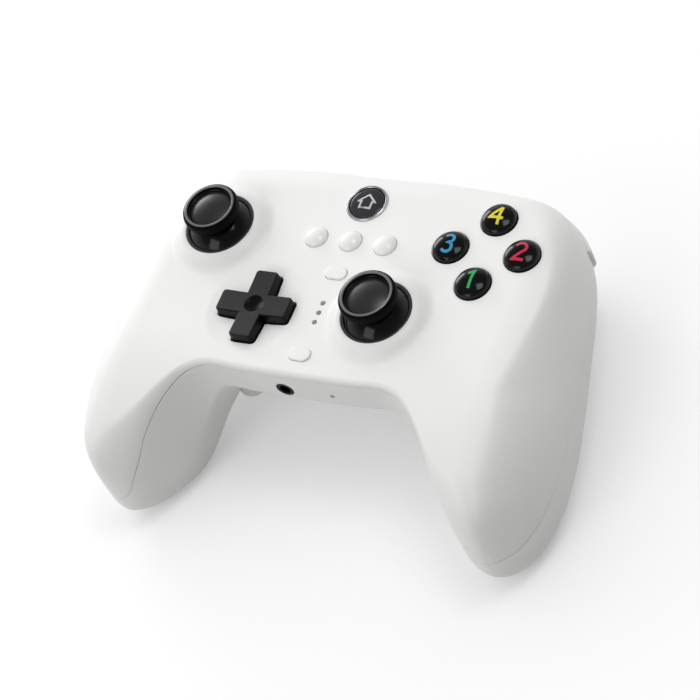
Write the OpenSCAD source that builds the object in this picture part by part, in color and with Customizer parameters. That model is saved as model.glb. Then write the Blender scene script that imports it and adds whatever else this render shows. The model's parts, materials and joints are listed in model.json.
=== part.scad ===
// Two-handed gamepad: a hollow body in two shells with two thumb sticks, a direction cross,
// four face buttons, bumpers, triggers and rear paddles, and the board, motors and battery inside.
// Millimetres. +X to the right hand, +Y to the top edge, +Z out of the face; it lies on z = 0.

/* [Body] */
// Width over the two grips
body_w = 146.6; // [142:0.2:152]
// Height of the face above the table
face_h = 49.8; // [48:0.1:53]
// From the button row down to the tips of the grips
grip_reach = 75.8; // [73:0.2:79]
// From the button row up to the top edge
top_reach = 26.5; // [25.5:0.1:28]
// Where the button row lies along Y
row_y = 23.6; // [21:0.1:26]
// Wall of both shells
wall = 2.2; // [1.6:0.1:2.6]
// Open line between the two shells
seam_gap = 0.2; // [0.1:0.05:0.4]
// Clearance round every piece that moves
clear = 0.3; // [0.25:0.01:0.35]

/* [Thumb sticks] */
// Left stick, from the middle plane
left_stick_x = -42; // [-44:0.5:-40]
// Left stick, below the button row
left_stick_drop = 1.4; // [0:0.1:3]
// Right stick, from the middle plane
right_stick_x = 18.6; // [18:0.1:21]
// Right stick, below the button row
right_stick_drop = 24; // [23:0.1:25]
// Height of the raised collar round each stick
collar_h = 2.6; // [1.5:0.1:3.5]
// Radius of the round skirt under each cap
dome_r = 12; // [11.6:0.1:12.4]
// Stick pivot, below the collar's top
pivot_depth = 7.6; // [7.2:0.1:8]
// Diameter of the cap
cap_d = 16.8; // [15.6:0.2:18]
// Top of the cap above the collar
cap_top = 8.7; // [8:0.1:10]
// Width of the square stick housing
housing_w = 13.6; // [13:0.1:14]

/* [Buttons] */
// Middle of the four face buttons, from the middle plane
diamond_x = 42; // [40.5:0.1:43.5]
// The same middle, above the button row
diamond_rise = 1.5; // [0:0.1:2.5]
// From that middle to each face button
diamond_r = 11; // [10:0.1:12]
// Diameter of a face button
face_button_d = 10.3; // [9.6:0.1:11]
// Top of a face button above the face
face_button_top = 2.7; // [2:0.1:3.2]
// Rise of a face button's dome
face_dome = 1.6; // [1:0.1:2]
// Travel of the face buttons
face_travel = 1.4; // [1:0.1:1.5]
// Home button, above the button row
home_rise = 13.1; // [12.5:0.1:13.5]
// Diameter of the home button with its ring
home_d = 12.4; // [11.6:0.1:13]
// Distance between the small round buttons
menu_pitch = 11.1; // [10.5:0.1:12]
// Diameter of a small round button
menu_d = 6.9; // [6.3:0.1:7.3]
// Top of a small round button above the face
menu_top = 1.9; // [1.5:0.1:2.3]
// Rise of a small round button's dome
menu_dome = 1.5; // [0.9:0.1:1.5]
// Upper oblong button, below the button row
upper_pill_drop = 11.7; // [11:0.1:12.5]
// Lower oblong button, below the button row
lower_pill_drop = 39.6; // [38.8:0.1:40.2]
// Length of an oblong button
pill_l = 6.8; // [6:0.1:7.4]
// Width of an oblong button
pill_w = 4.2; // [3.6:0.1:4.6]
// Middle status light, below the button row
lights_drop = 25.2; // [24.5:0.1:26]
// Distance between the status lights
lights_pitch = 3.25; // [2.6:0.05:3.6]

/* [Direction cross] */
// Cross, from the middle plane
cross_x = -19.8; // [-21:0.1:-19]
// Cross, below the button row
cross_drop = 26.4; // [25.4:0.1:27.4]
// Span of the cross over two arms
cross_span = 22.8; // [21:0.2:24]
// Width of an arm at its top
cross_w = 7; // [6.4:0.1:7.4]
// Top of the arms above the face
cross_top = 2.4; // [1.8:0.1:3]
// Diameter of the dish round the cross
dish_d = 31; // [29:0.2:31.6]
// Depth of the dish
dish_depth = 1.75; // [1.2:0.05:2]

/* [Shoulders and rear] */
// Inner end of a bumper, as a step along the body's sections
bumper_from = 1.8; // [1.7:0.05:2]
// Outer end of a bumper, as a step along the body's sections
bumper_to = 4.6; // [4.4:0.1:4.8]
// How far a bumper stands out of the top edge
bumper_out = 1.2; // [0.8:0.1:1.6]
// Inner side of a trigger, from the middle plane
trigger_x = 31; // [30.5:0.1:32]
// Width of a trigger
trigger_w = 20; // [18:0.2:20.4]
// Trigger pivot, above the button row
trigger_pivot_rise = 12.3; // [12:0.1:12.8]
// Trigger pivot, below the face
trigger_pivot_depth = 22.8; // [22.4:0.1:23.2]
// Radius of the trigger's hinge pin
pin_r = 1.5; // [1.2:0.1:1.7]
// Middle of a rear paddle, from the middle plane
paddle_x = 33.5; // [33:0.1:34]
// Width of a rear paddle
paddle_w = 9; // [8:0.2:10]
// Length of a rear paddle
paddle_l = 19; // [18:0.2:20]
// Upper end of a rear paddle, below the button row
paddle_drop = 16; // [15:0.1:17]

/* [Sockets] */
// Headset socket, from the middle plane
jack_x = -5; // [-7:0.1:-4]
// Headset socket and charge light, below the face
jack_depth = 8.3; // [7.9:0.1:8.6]
// Bore of the headset socket
jack_d = 3.6; // [3.5:0.05:3.7]
// Charge light, from the middle plane
light_x = 10.1; // [9:0.1:12]

/* [Inside] */
// Top of the board, below the face
board_depth = 10.5; // [10.3:0.1:10.8]
// Thickness of the board
board_t = 1.6; // [1:0.1:2]
// Middle of a rumble motor, from the middle plane
motor_x = 57; // [56:0.1:58]
// Radius of a rumble motor
motor_r = 6; // [5:0.1:6.4]
// Length of a rumble motor
motor_l = 16; // [14:0.2:18]
// Battery width, length and height
battery_size = [42, 26, 9];

/* [Hidden] */
$fn = 48;

white = "#f4f4f1";
black = "#1a1a1c";
grey = "#9a9a9c";
metal = "#b9bcc0";
green = "#2d6a43";
rubber = "#d8d8d4";

// The body's sections, from the middle plane to the tip of the right grip. Each runs from a point on
// the lower and inner edge of the outline to one on its top and outer edge (x, and y from the button row).
inner_edge = [
    [0, -46.5], [16, -46.3], [25, -45.7], [29.5, -46.1], [33, -47.5], [36, -49.7], [38.5, -52.5], [41, -56],
    [43.5, -60], [46.5, -65], [49.3, -69.3], [52, -72.7], [54.8, -74.8], [57.6, -75.7], [59.8, -75.8],
];
outer_edge = [
    [0, 26.5], [18, 27], [36, 27], [49.5, 26.2], [58.3, 21.6], [63.8, 13.9], [67.8, 2.1], [71, -14.5],
    [73, -32.5], [73.3, -47.5], [72, -58], [70, -65], [67.3, -70], [64.4, -73.3], [62.2, -75],
];
// Depth of the parting line below the face, at the two ends of each section
seam_inner = [2, 2, 2.2, 2.5, 3, 4, 5.5, 7.5, 10.5, 15.5, 22, 27.5, 32.5, 34.5, 34.5];
seam_outer = [8.5, 8.5, 10.5, 13, 15.5, 18, 20.5, 22.5, 25.5, 29, 32, 33.5, 34.5, 34.5, 34.5];
// How far the face and the back roll in from the outline, and how tall the back's roll is
face_roll_inner = [1.5, 1.5, 1.5, 1.5, 1.5, 1.5, 1.5, 2, 2.5, 4, 6, 7, 6, 3.4, 1.2];
face_roll_outer = [10, 11, 13, 14, 13, 11, 11, 17, 21, 18, 14, 9, 6, 3.4, 1.2];
back_roll_inner = [3, 3, 4, 5, 6, 7, 8, 8, 8, 8, 8, 7, 6, 3.4, 1.2];
back_roll_outer = [6, 6, 7, 8, 9, 9, 9, 9, 9, 9, 9, 8, 6, 3.4, 1.2];
back_rise_inner = [3, 3, 3, 4, 6, 8, 10, 11, 11, 11, 10.5, 10, 9, 8, 8];
back_rise_outer = [6, 6, 7, 8, 9, 9, 9, 10, 11, 12, 11.5, 10.5, 9, 8, 8];
// How full each section is: the last ones close the round tip of the grip
fullness = [1, 1, 1, 1, 1, 1, 1, 1, 1, 1, 1, 0.96, 0.88, 0.7, 0.4];

last_section = len(fullness) - 1;
cavity_end = 11;
span_steps = 2;
roll_steps = 4;
flat_steps = 6;
outline_w = 2 * max([for (p = outer_edge) p.x]);
outline_top = outer_edge[0].y;
outline_tip = min([for (p = inner_edge) p.y]);
seam_floor = 0.3;

function ease(from, to, x) = let (t = max(0, min(1, (x - from) / (to - from)))) t * t * (3 - 2 * t);
function mix(a, b, t) = a + (b - a) * t;

// A wider body moves the grips apart; a longer one moves their tips and the top edge
function placed_x(x) = x + sign(x) * ease(20, 45, abs(x)) * (body_w - outline_w) / 2;
function placed_y(y) = row_y + y + ease(0, outline_top, y) * (top_reach - outline_top)
    - ease(-45, outline_tip, y) * (grip_reach + outline_tip);
function section_row(i) = [
    placed_x(inner_edge[i].x), placed_y(inner_edge[i].y), placed_x(outer_edge[i].x), placed_y(outer_edge[i].y),
    seam_inner[i], seam_outer[i], face_roll_inner[i], face_roll_outer[i],
    back_roll_inner[i], back_roll_outer[i], back_rise_inner[i], back_rise_outer[i], fullness[i],
];
function flipped(s) = [for (k = [0:len(s) - 1]) k == 0 || k == 2 ? -s[k] : s[k]];
function row_or_end(i) = i < 0 ? flipped(section_row(-i))
    : i > last_section ? 2 * section_row(last_section) - section_row(last_section - 1) : section_row(i);
// Smooth curve through the section values; u runs from 0 to last_section
function section_at(u) = let (
    i = min(floor(u), last_section - 1), t = u - i,
    a = row_or_end(i - 1), b = row_or_end(i), c = row_or_end(i + 1), d = row_or_end(i + 2)
) 0.5 * (2 * b + (c - a) * t + (2 * a - 5 * b + 4 * c - d) * t * t + (3 * b - 3 * c + d - a) * t * t * t);

// Height of the face: flat, falling away at the sides and bending down along the grips
side_fall_from = placed_x(54);
side_fall = 0.02;
bend_drop = 36.5;
bend_reach = 57;
bend_depth = 28;
bend_from = 10;
bend_to = 41;
function face_z(p) = let (x = abs(p.x), d = max(0, row_y - bend_drop - p.y))
    face_h - side_fall * max(0, x - side_fall_from) ^ 2
    - bend_depth * (d / bend_reach) ^ 2 * ease(bend_from, bend_to, x);
// Height of the back: a raised middle that slopes up to the lower wall, and the deeper grips
middle_back = 16.8;
middle_rise = 20;
grip_back = [[-84.5, 7.2], [-74.5, 2.7], [-64.5, -0.1], [-54.5, 0.3], [-39.5, 4.3], [-24.5, 10.3], [-9.5, 15.3],
    [5.5, 17.3], [35.5, 17.3]];
function back_z(p) = let (
    x = abs(p.x), y = p.y - row_y,
    middle = middle_back + middle_rise * (1 - ease(-50.5, -20.5, y)),
    grip = lookup(y, grip_back)
) mix(middle, grip, ease(25, 46, x));

// One section's line over the face (side = 1) or under the back (side = -1), inset from the outside
function ring(s, side, inset) = let (
    start = [s[0], s[1]], chord = norm([s[2] - s[0], s[3] - s[1]]), dir = [s[2] - s[0], s[3] - s[1]] / chord,
    d0 = inset, d1 = chord - inset, half = (d1 - d0) / 2,
    roll0 = min(side > 0 ? s[6] : s[8], half), roll1 = min(side > 0 ? s[7] : s[9], half),
    flat = [for (j = [1:flat_steps - 1]) mix(d0 + roll0, d1 - roll1, j / flat_steps)],
    arcs = [for (j = [0:roll_steps]) 90 * j / roll_steps]
) concat(
    side > 0 ? [] : [on_seam(s, start, dir, chord, d0, side)],
    [for (a = arcs) rolled(s, start, dir, chord, d0 + roll0 * (1 - cos(a)), d0, a, side, inset)],
    [for (d = flat) rolled(s, start, dir, chord, d, d0, 90, side, inset)],
    [for (k = [roll_steps:-1:0])
        rolled(s, start, dir, chord, d1 - roll1 * (1 - cos(arcs[k])), d1, arcs[k], side, inset)],
    side > 0 ? [] : [on_seam(s, start, dir, chord, d1, side)]
);
function seam_z(s, share, side) = face_h - mix(s[4], s[5], share) + side * seam_gap / 2;
function on_seam(s, start, dir, chord, d, side) = let (p = start + dir * d) [p.x, p.y, seam_z(s, d / chord, side)];
function rolled(s, start, dir, chord, d, edge, a, side, inset) = let (
    p = start + dir * d, here = seam_z(s, d / chord, side), rim = seam_z(s, edge / chord, side),
    full = side > 0 ? max(here, here + (face_z(p) - inset - here) * s[12])
        : min(here - seam_floor, here + (back_z(p) + inset - here) * s[12]),
    rise = mix(s[10], s[11], edge / chord) * s[12],
    foot = side > 0 ? rim : min(rim - seam_floor, full + rise)
) [p.x, p.y, side > 0 ? max(here, mix(foot, full, sin(a))) : min(here - seam_floor, mix(foot, full, sin(a)))];

half_steps = [for (i = [0:last_section * span_steps]) i / span_steps];
half_sections = [for (u = half_steps) section_at(u)];
all_sections = concat([for (i = [len(half_steps) - 1:-1:1]) flipped(half_sections[i])], half_sections);

function quad(a, b, c, d, side) = side > 0 ? [[a, b, c], [a, c, d]] : [[a, c, b], [a, d, c]];
function turned(list, side) = side > 0 ? list : [for (k = [len(list) - 1:-1:0]) list[k]];
function joined(lists) = [for (l = lists) for (f = l) f];

// A closed shell with a cavity that stops short of the grip tips
module shell_skin(side) {
    outer = [for (s = all_sections) ring(s, side, 0)];
    mid = (len(all_sections) - 1) / 2;
    first = mid - cavity_end * span_steps;
    final = mid + cavity_end * span_steps;
    inner = [for (i = [first:final]) ring(all_sections[i], side, wall)];
    n = len(outer);
    m = len(outer[0]);
    e = m - 1;
    base = n * m;
    function o(i, j) = i * m + j;
    function v(i, j) = base + (i - first) * m + j;
    faces = concat(
        joined([for (i = [0:n - 2]) for (j = [0:m - 2])
            quad(o(i, j), o(i, j + 1), o(i + 1, j + 1), o(i + 1, j), side)]),
        joined([for (i = [first:final - 1]) for (j = [0:m - 2])
            quad(v(i, j), v(i + 1, j), v(i + 1, j + 1), v(i, j + 1), side)]),
        joined([for (i = [first:final - 1]) quad(o(i, 0), o(i + 1, 0), v(i + 1, 0), v(i, 0), side)]),
        joined([for (i = [first:final - 1]) quad(o(i + 1, e), o(i, e), v(i, e), v(i + 1, e), side)]),
        [turned([for (j = [0:e]) v(first, j)], side), turned([for (j = [e:-1:0]) v(final, j)], side)],
        joined([for (i = [0:first - 2]) quad(o(i, 0), o(i + 1, 0), o(i + 1, e), o(i, e), side)]),
        joined([for (i = [final + 1:n - 2]) quad(o(i, 0), o(i + 1, 0), o(i + 1, e), o(i, e), side)]),
        [for (t = [[o(first, 0), v(first, 0)], [v(first, 0), v(first, e)], [v(first, e), o(first, e)],
            [o(first, e), o(first - 1, e)]]) turned([o(first - 1, 0), t[0], t[1]], side)],
        [for (t = [[v(final, 0), o(final, 0)], [v(final, e), v(final, 0)], [o(final, e), v(final, e)],
            [o(final + 1, e), o(final, e)]]) turned([o(final + 1, 0), t[0], t[1]], side)],
        [turned([for (j = [e:-1:0]) o(0, j)], side), turned([for (j = [0:e]) o(n - 1, j)], side)]
    );
    polyhedron(points = concat(joined(outer), joined(inner)), faces = faces, convexity = 10);
}

// Places and levels worked out from the sizes above
left_stick = [placed_x(left_stick_x), row_y - left_stick_drop];
right_stick = [right_stick_x, row_y - right_stick_drop];
diamond = [placed_x(diamond_x), row_y + diamond_rise];
trigger_from = placed_x(trigger_x + trigger_w) - trigger_w;
paddle_at = placed_x(paddle_x);
motor_at = placed_x(motor_x);
cross = [cross_x, row_y - cross_drop];
home = [0, row_y + home_rise];
menu_row = [for (k = [-1:1]) [k * menu_pitch, row_y - 0.4]];
upper_pill = [0, row_y - upper_pill_drop];
lower_pill = [0, row_y - lower_pill_drop];
lights = [for (k = [-1:1]) [0, row_y - lights_drop + k * lights_pitch]];
under_face = face_h - wall;
board_top = face_h - board_depth;
board_bottom = board_top - board_t;
seat = 0.05;
through = 20;

module at(p, z) translate([p.x, p.y, z]) children();
module both_sides() {
    children();
    mirror([1, 0, 0]) children();
}
// A cylinder with a shallow domed top at z1
module domed(r, z0, z1, dome) {
    ball = (r * r + dome * dome) / (2 * dome);
    intersection() {
        translate([0, 0, z0]) cylinder(r = r, h = z1 - z0);
        translate([0, 0, z1 - ball]) sphere(r = ball, $fn = 120);
    }
}
// An oblong block with round ends, along X
module oblong(l, w, h) {
    translate([-(l - w) / 2, -w / 2, 0]) cube([l - w, w, h]);
    for (k = [-1, 1]) translate([k * (l - w) / 2, 0, 0]) cylinder(d = w, h = h);
}

// Raised collars and slip rings of the thumb sticks
ring_z = face_h + collar_h;
pivot_z = ring_z - pivot_depth;
ring_t = 0.8;
ring_band = 0.85;
ring_seat = 0.3;
ring_shoulder = 0.7;
collar_foot = 4.6;
collar_root = 1.2;
collar_flare = 1.17;
function skirt_r(z) = sqrt(dome_r ^ 2 - (z - pivot_z) ^ 2);
ring_in_top = skirt_r(ring_z) + clear;
ring_in_low = skirt_r(ring_z - ring_t) + clear;
ring_out = max(ring_in_top + ring_band, ring_in_low + ring_seat);
skirt_room = clear + seat;
collar_wall = 1.6;

module collar() {
    translate([0, 0, face_h - collar_foot]) cylinder(r = dome_r + collar_wall, h = collar_foot);
    translate([0, 0, face_h - collar_root])
        cylinder(r1 = ring_out + ring_shoulder + collar_flare * (collar_h + collar_root),
            r2 = ring_out + ring_shoulder, h = collar_h + collar_root);
}
module collar_hole() {
    translate([0, 0, ring_z - ring_t - seat]) cylinder(r = ring_out + seat, h = through);
    translate([0, 0, pivot_z]) sphere(r = dome_r + skirt_room, $fn = 96);
}
module stick_ring() color(grey) rotate_extrude() polygon([
    [ring_in_top, ring_z], [ring_out, ring_z], [ring_out, ring_z - ring_t], [ring_in_low, ring_z - ring_t],
]);
module left_stick_ring() at(left_stick, 0) stick_ring();
module right_stick_ring() at(right_stick, 0) stick_ring();

// Screws that hold the shells: two near the top edge, one in each grip
screw_r = 1.2;
screw_head_r = 2.4;
screw_head_t = 2;
boss_r = 3;
post_r = 4.2;
post_gap = 0.1;
post_to_trigger = 9;
// place, height where boss meets post, height of the head's seat, top of the boss below the face
shell_screw_rows = [
    [[trigger_from - post_to_trigger, row_y + 17.4], 30, 22, 1.1],
    [[placed_x(60.5), placed_y(-60.6)], 22, 9, 9.2],
];
module screw_bosses() for (s = shell_screw_rows)
    at(s[0], s[1] + post_gap) cylinder(r = boss_r, h = face_h - s[3] - s[1] - post_gap);
module screw_boss_bores() for (s = shell_screw_rows)
    at(s[0], s[1] - 1) cylinder(r = screw_r + 0.1, h = 10);
module screw_posts() for (s = shell_screw_rows)
    at(s[0], back_z(s[0]) + wall / 2) cylinder(r = post_r, h = s[1] - back_z(s[0]) - wall / 2);
module screw_post_bores() for (s = shell_screw_rows) {
    at(s[0], s[2] - 30) cylinder(r = screw_head_r + clear, h = 30);
    at(s[0], s[2] - 1) cylinder(r = screw_r + 0.2, h = s[1] - s[2] + 2);
}
module shell_screws() color(metal) both_sides() for (s = shell_screw_rows) {
    at(s[0], s[2] - screw_head_t) cylinder(r = screw_head_r, h = screw_head_t);
    at(s[0], s[2] - 1) cylinder(r = screw_r, h = s[1] - s[2] + 8);
}

// Posts under the face that carry the board, and the board's own screws
board_posts = [[22, row_y + 8], [placed_x(46), row_y - 21]];
board_post_r = 2;
board_screw_r = 0.8;
module board_post_set() for (p = board_posts)
    at(p, board_top) cylinder(r = board_post_r, h = face_z(p) - wall / 2 - board_top);
module board_post_bores() for (p = board_posts)
    at(p, board_top - 1) cylinder(r = board_screw_r + 0.1, h = 6);
module board_screws() color(metal) both_sides() for (p = board_posts) {
    at(p, board_bottom - 1) cylinder(r = 1.8, h = 1);
    at(p, board_bottom - 0.5) cylinder(r = board_screw_r, h = board_t + 5);
}

// The dish and cross-shaped hole of the direction cross
cross_draft = 0.2;
cross_base_w = cross_w + 2 * cross_draft;
cross_gap = 0.6;
bed_t = 4.2;
dish_ball = (dish_d ^ 2 / 4 + dish_depth ^ 2) / (2 * dish_depth);
module cross_hole() for (a = [0, 90]) rotate(a)
    translate([-cross_span / 2 - cross_gap, -cross_base_w / 2 - cross_gap, face_h - through / 2])
        cube([cross_span + 2 * cross_gap, cross_base_w + 2 * cross_gap, through]);

// Sleeves that guide the face buttons, with room under them for the flanges
sleeve_t = 1;
sleeve_deep = 3.6;
flange_out = 0.5;
face_buttons = [for (a = [0:90:270]) diamond + diamond_r * [cos(a), sin(a)]];
module button_sleeves() for (p = face_buttons)
    at(p, face_h - sleeve_deep) cylinder(r = face_button_d / 2 + clear + sleeve_t, h = sleeve_deep - wall / 2);
module button_holes() {
    for (p = face_buttons) {
        at(p, face_h - through / 2) cylinder(d = face_button_d + 2 * clear, h = through);
        at(p, face_h - sleeve_deep - through)
            cylinder(r = face_button_d / 2 + flange_out + clear, h = through);
    }
    at(home, face_h - through / 2) cylinder(d = home_d + 2 * seat, h = through);
    for (p = menu_row) at(p, face_h - through / 2) cylinder(d = menu_d + 2 * clear, h = through);
    for (p = [upper_pill, lower_pill])
        at(p, face_h - through / 2) oblong(pill_l + 2 * clear, pill_w + 2 * clear, through);
    for (p = lights) at(p, face_h - through / 2) cylinder(r = light_r + 0.1, h = through);
}

module front_shell() color(white) difference() {
    union() {
        shell_skin(1);
        at(left_stick, 0) collar();
        at(right_stick, 0) collar();
        at(cross, face_h - bed_t) cylinder(r = dish_d / 2 + 1, h = bed_t - wall / 2);
        button_sleeves();
        both_sides() {
            screw_bosses();
            board_post_set();
        }
    }
    at(left_stick, 0) collar_hole();
    at(right_stick, 0) collar_hole();
    at(cross, face_h - dish_depth + dish_ball) sphere(r = dish_ball, $fn = 180);
    at(cross, 0) cross_hole();
    button_holes();
    both_sides() {
        screw_boss_bores();
        board_post_bores();
    }
}

// Round lights in the face
light_r = 0.65;
module status_lights() color("#d5d7da") for (p = lights)
    at(p, board_top + seat) cylinder(r = light_r, h = face_h - board_top - seat);

// Bumpers: bands that follow the top edge round each shoulder
bumper_deep = 6.5;
bumper_tall = [11, 8];
bumper_steps = 12;
bumper_drop = 0.6;
bumper_press = 1.4;
function top_point(u) = let (s = section_at(u)) [s[2], s[3]];
function top_normal(u) = let (d = top_point(u + 0.05) - top_point(u - 0.05)) [-d.y, d.x] / norm(d);
function bumper_top(u) = face_h - section_at(u)[5] - bumper_drop;
function bumper_low(u) = bumper_top(u) - mix(bumper_tall[0], bumper_tall[1], ease(bumper_from, bumper_to, u));
function band_point(u, out, z) = let (p = top_point(u) + top_normal(u) * out) [p.x, p.y, z];
function bumper_ring(u) = let (t = bumper_top(u), l = bumper_low(u), o = bumper_out) [
    for (q = [[-bumper_deep, t], [o - 1.6, t], [o - 0.5, t - 0.5], [o, t - 1.6], [o, l + 2], [o - 0.6, l + 0.6],
        [o - 2, l], [-bumper_deep, l]]) band_point(u, q[0], q[1])];
function pocket_ring(u) = let (t = bumper_top(u) + 3, l = bumper_low(u) - clear, i = -bumper_deep - bumper_press) [
    for (q = [[i, t], [8, t], [8, l], [i, l]]) band_point(u, q[0], q[1])];
// A bar swept through rings of points, closed at both ends
module swept(rings) {
    n = len(rings);
    m = len(rings[0]);
    polyhedron(
        points = joined(rings),
        faces = concat(
            joined([for (i = [0:n - 2]) for (j = [0:m - 1])
                quad(i * m + j, i * m + (j + 1) % m, (i + 1) * m + (j + 1) % m, (i + 1) * m + j, 1)]),
            [[for (j = [m - 1:-1:0]) j], [for (j = [0:m - 1]) (n - 1) * m + j]]
        ), convexity = 6);
}
module bumper() color(white)
    swept([for (k = [0:bumper_steps]) bumper_ring(mix(bumper_from, bumper_to, k / bumper_steps))]);
module bumper_pocket() {
    inner_room = 0.045;
    outer_room = 0.085;
    swept([for (k = [0:bumper_steps])
        pocket_ring(mix(bumper_from - inner_room, bumper_to + outer_room, k / bumper_steps))]);
}
module right_bumper() bumper();
module left_bumper() mirror([1, 0, 0]) bumper();

// Triggers: hooked levers on a pin, with a round back that closes the slot
trigger_pivot_z = face_h - trigger_pivot_depth;
trigger_pivot = [row_y + trigger_pivot_rise, trigger_pivot_z];
drum_r = 9.3;
hub_r = 4;
hub_lip = 0.3;
hook_rise = 14.4;
hook_z = 14.6;
hook_mid = [row_y + hook_rise, hook_z];
hook_r = 14.2;
hook_in_rise = 10.5;
hook_in_z = 13.2;
hook_in_mid = [row_y + hook_in_rise, hook_in_z];
hook_in_r = 11;
hook_drop = 4.7;
hook_top = trigger_pivot_z - hook_drop;
spring_room = 3.5;
lug_t = 1.4;
function arc(mid, r, from, to, n) = [for (k = [0:n]) let (a = mix(from, to, k / n)) mid + r * [cos(a), sin(a)]];
function trigger_outline() = concat(
    arc(hook_mid, hook_r, asin((hook_top - hook_mid.y) / hook_r), -78, 14),
    arc(hook_in_mid, hook_in_r, -52, 20, 8),
    arc(trigger_pivot, drum_r, -52, -160, 12),
    arc(trigger_pivot, hub_r, 180, 0, 9),
    [[trigger_pivot.x + hub_r + hub_lip, hook_top]]
);
module along_x(from, length) translate([from, 0, 0]) rotate([90, 0, 90]) linear_extrude(length) children();
module trigger_bore(from, length, r) translate([from, trigger_pivot.x, trigger_pivot.y]) rotate([0, 90, 0])
    cylinder(r = r, h = length);
module trigger() color(white) difference() {
    along_x(trigger_from, trigger_w) polygon(trigger_outline());
    trigger_bore(trigger_from - 1, trigger_w + 2, pin_r + seat);
    trigger_bore(trigger_from - 1, spring_room + 1, hub_r + 0.2);
}
module trigger_slot() {
    trigger_bore(trigger_from - clear, trigger_w + 2 * clear, drum_r + clear + 0.1);
    translate([trigger_from - clear, trigger_pivot.x, -5])
        cube([trigger_w + 2 * clear, 30, hook_top + 5 + 0.5]);
}
lug_foot = 17.8;
module trigger_lugs() for (x = [trigger_from - clear - lug_t, trigger_from + trigger_w + clear])
    translate([x, trigger_pivot.x - 4, lug_foot]) cube([lug_t, 7.5, trigger_pivot.y + 3.2 - lug_foot]);
module trigger_lug_bores() trigger_bore(trigger_from - 5, trigger_w + 10, pin_r + seat);
module right_trigger() trigger();
module left_trigger() mirror([1, 0, 0]) trigger();
module trigger_pins() color(metal) both_sides()
    trigger_bore(trigger_from - clear - lug_t, trigger_w + 2 * (clear + lug_t), pin_r);

// Return springs: one unbroken wire wound round each pin
spring_turns = 2;
spring_wire = 0.3;
spring_r = pin_r + 0.1 + spring_wire;
coil_pitch = (spring_room - 2 * spring_wire - 0.4) / spring_turns;
coil_steps = spring_turns * 12;
function coil_ring(k) = let (a = 360 * k / 12, x = trigger_from + spring_wire + 0.2 + coil_pitch * k / 12) [
    for (b = [0:60:300]) let (r = spring_r + spring_wire * cos(b))
        [x + spring_wire * sin(b), trigger_pivot.x + r * cos(a), trigger_pivot.y + r * sin(a)]];
echo(least_gap_between_turns = coil_pitch - 2 * spring_wire);
module trigger_springs() color(metal) both_sides() swept([for (k = [0:coil_steps]) coil_ring(k)]);

// Rear paddles: levers hinged at the upper end, each with a plunger up to its switch
paddle_top_y = row_y - paddle_drop;
paddle_low_z = 13;
paddle_t = 6.6;
plunger_y = paddle_top_y - 14;
plunger_top = board_bottom - 4.2;
module paddle() color(white) {
    translate([paddle_at, paddle_top_y - paddle_l / 2, paddle_low_z]) rotate(90) oblong(paddle_l, paddle_w, paddle_t);
    translate([paddle_at, plunger_y, paddle_low_z + paddle_t - 0.5])
        cylinder(r = 1.6, h = plunger_top - paddle_low_z - paddle_t + 0.5);
}
module paddle_pocket() translate([paddle_at, paddle_top_y - paddle_l / 2, paddle_low_z - 10]) rotate(90)
    oblong(paddle_l + 3 * clear, paddle_w + 3 * clear, paddle_t + 10 + 2.5);
module right_paddle() paddle();
module left_paddle() mirror([1, 0, 0]) paddle();
module paddle_switches() color(black) both_sides()
    translate([paddle_at - 2.5, plunger_y - 2.5, plunger_top + 1.2])
        cube([5, 5, board_bottom - plunger_top - 1.2 - seat]);

// Headset socket and charge light in the lower wall, charging socket in the top wall
low_edge = placed_y(inner_edge[0].y);
jack_z = face_h - jack_depth;
jack_collar_r = 2.7;
board_low = row_y - 35.6;
module jack_socket() color(black) difference() {
    union() {
        translate([jack_x, low_edge, jack_z]) rotate([-90, 0, 0]) cylinder(r = jack_collar_r, h = wall + 1);
        translate([jack_x - 2.6, low_edge + wall + 0.2, jack_z - 2.6])
            cube([5.2, board_low - low_edge - wall - 0.4, 5.2]);
        translate([jack_x - 2.6, board_low - 1, board_top + seat]) cube([5.2, 4.6, jack_z + 2.6 - board_top - seat]);
    }
    translate([jack_x, low_edge - 1, jack_z]) rotate([-90, 0, 0]) cylinder(d = jack_d, h = 15);
}
module charge_light() color("#d5d7da") {
    translate([light_x, low_edge + 0.1, jack_z]) rotate([-90, 0, 0]) cylinder(r = light_r, h = board_low - low_edge);
    translate([light_x - 1, board_low - 0.5, board_top + seat]) cube([2, 3, jack_z + 0.8 - board_top]);
}
usb_w = 8.94;
usb_h = 3.26;
usb_l = 7.2;
top_edge = placed_y(outer_edge[0].y);
usb_z = board_bottom - seat - usb_h / 2;
module usb_bar(w, h, from, l) translate([0, from + l, usb_z - h / 2]) rotate([90, 0, 0])
    translate([0, h / 2, 0]) oblong(w, h, l);
module usb_socket() color(metal) {
    difference() {
        usb_bar(usb_w, usb_h, top_edge - usb_l - 0.3, usb_l);
        usb_bar(usb_w - 0.6, usb_h - 0.6, top_edge - usb_l + 0.5, usb_l);
    }
    translate([-3.3, top_edge - usb_l - 0.1, usb_z - 0.35]) cube([6.6, usb_l - 1, 0.7]);
}

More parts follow.
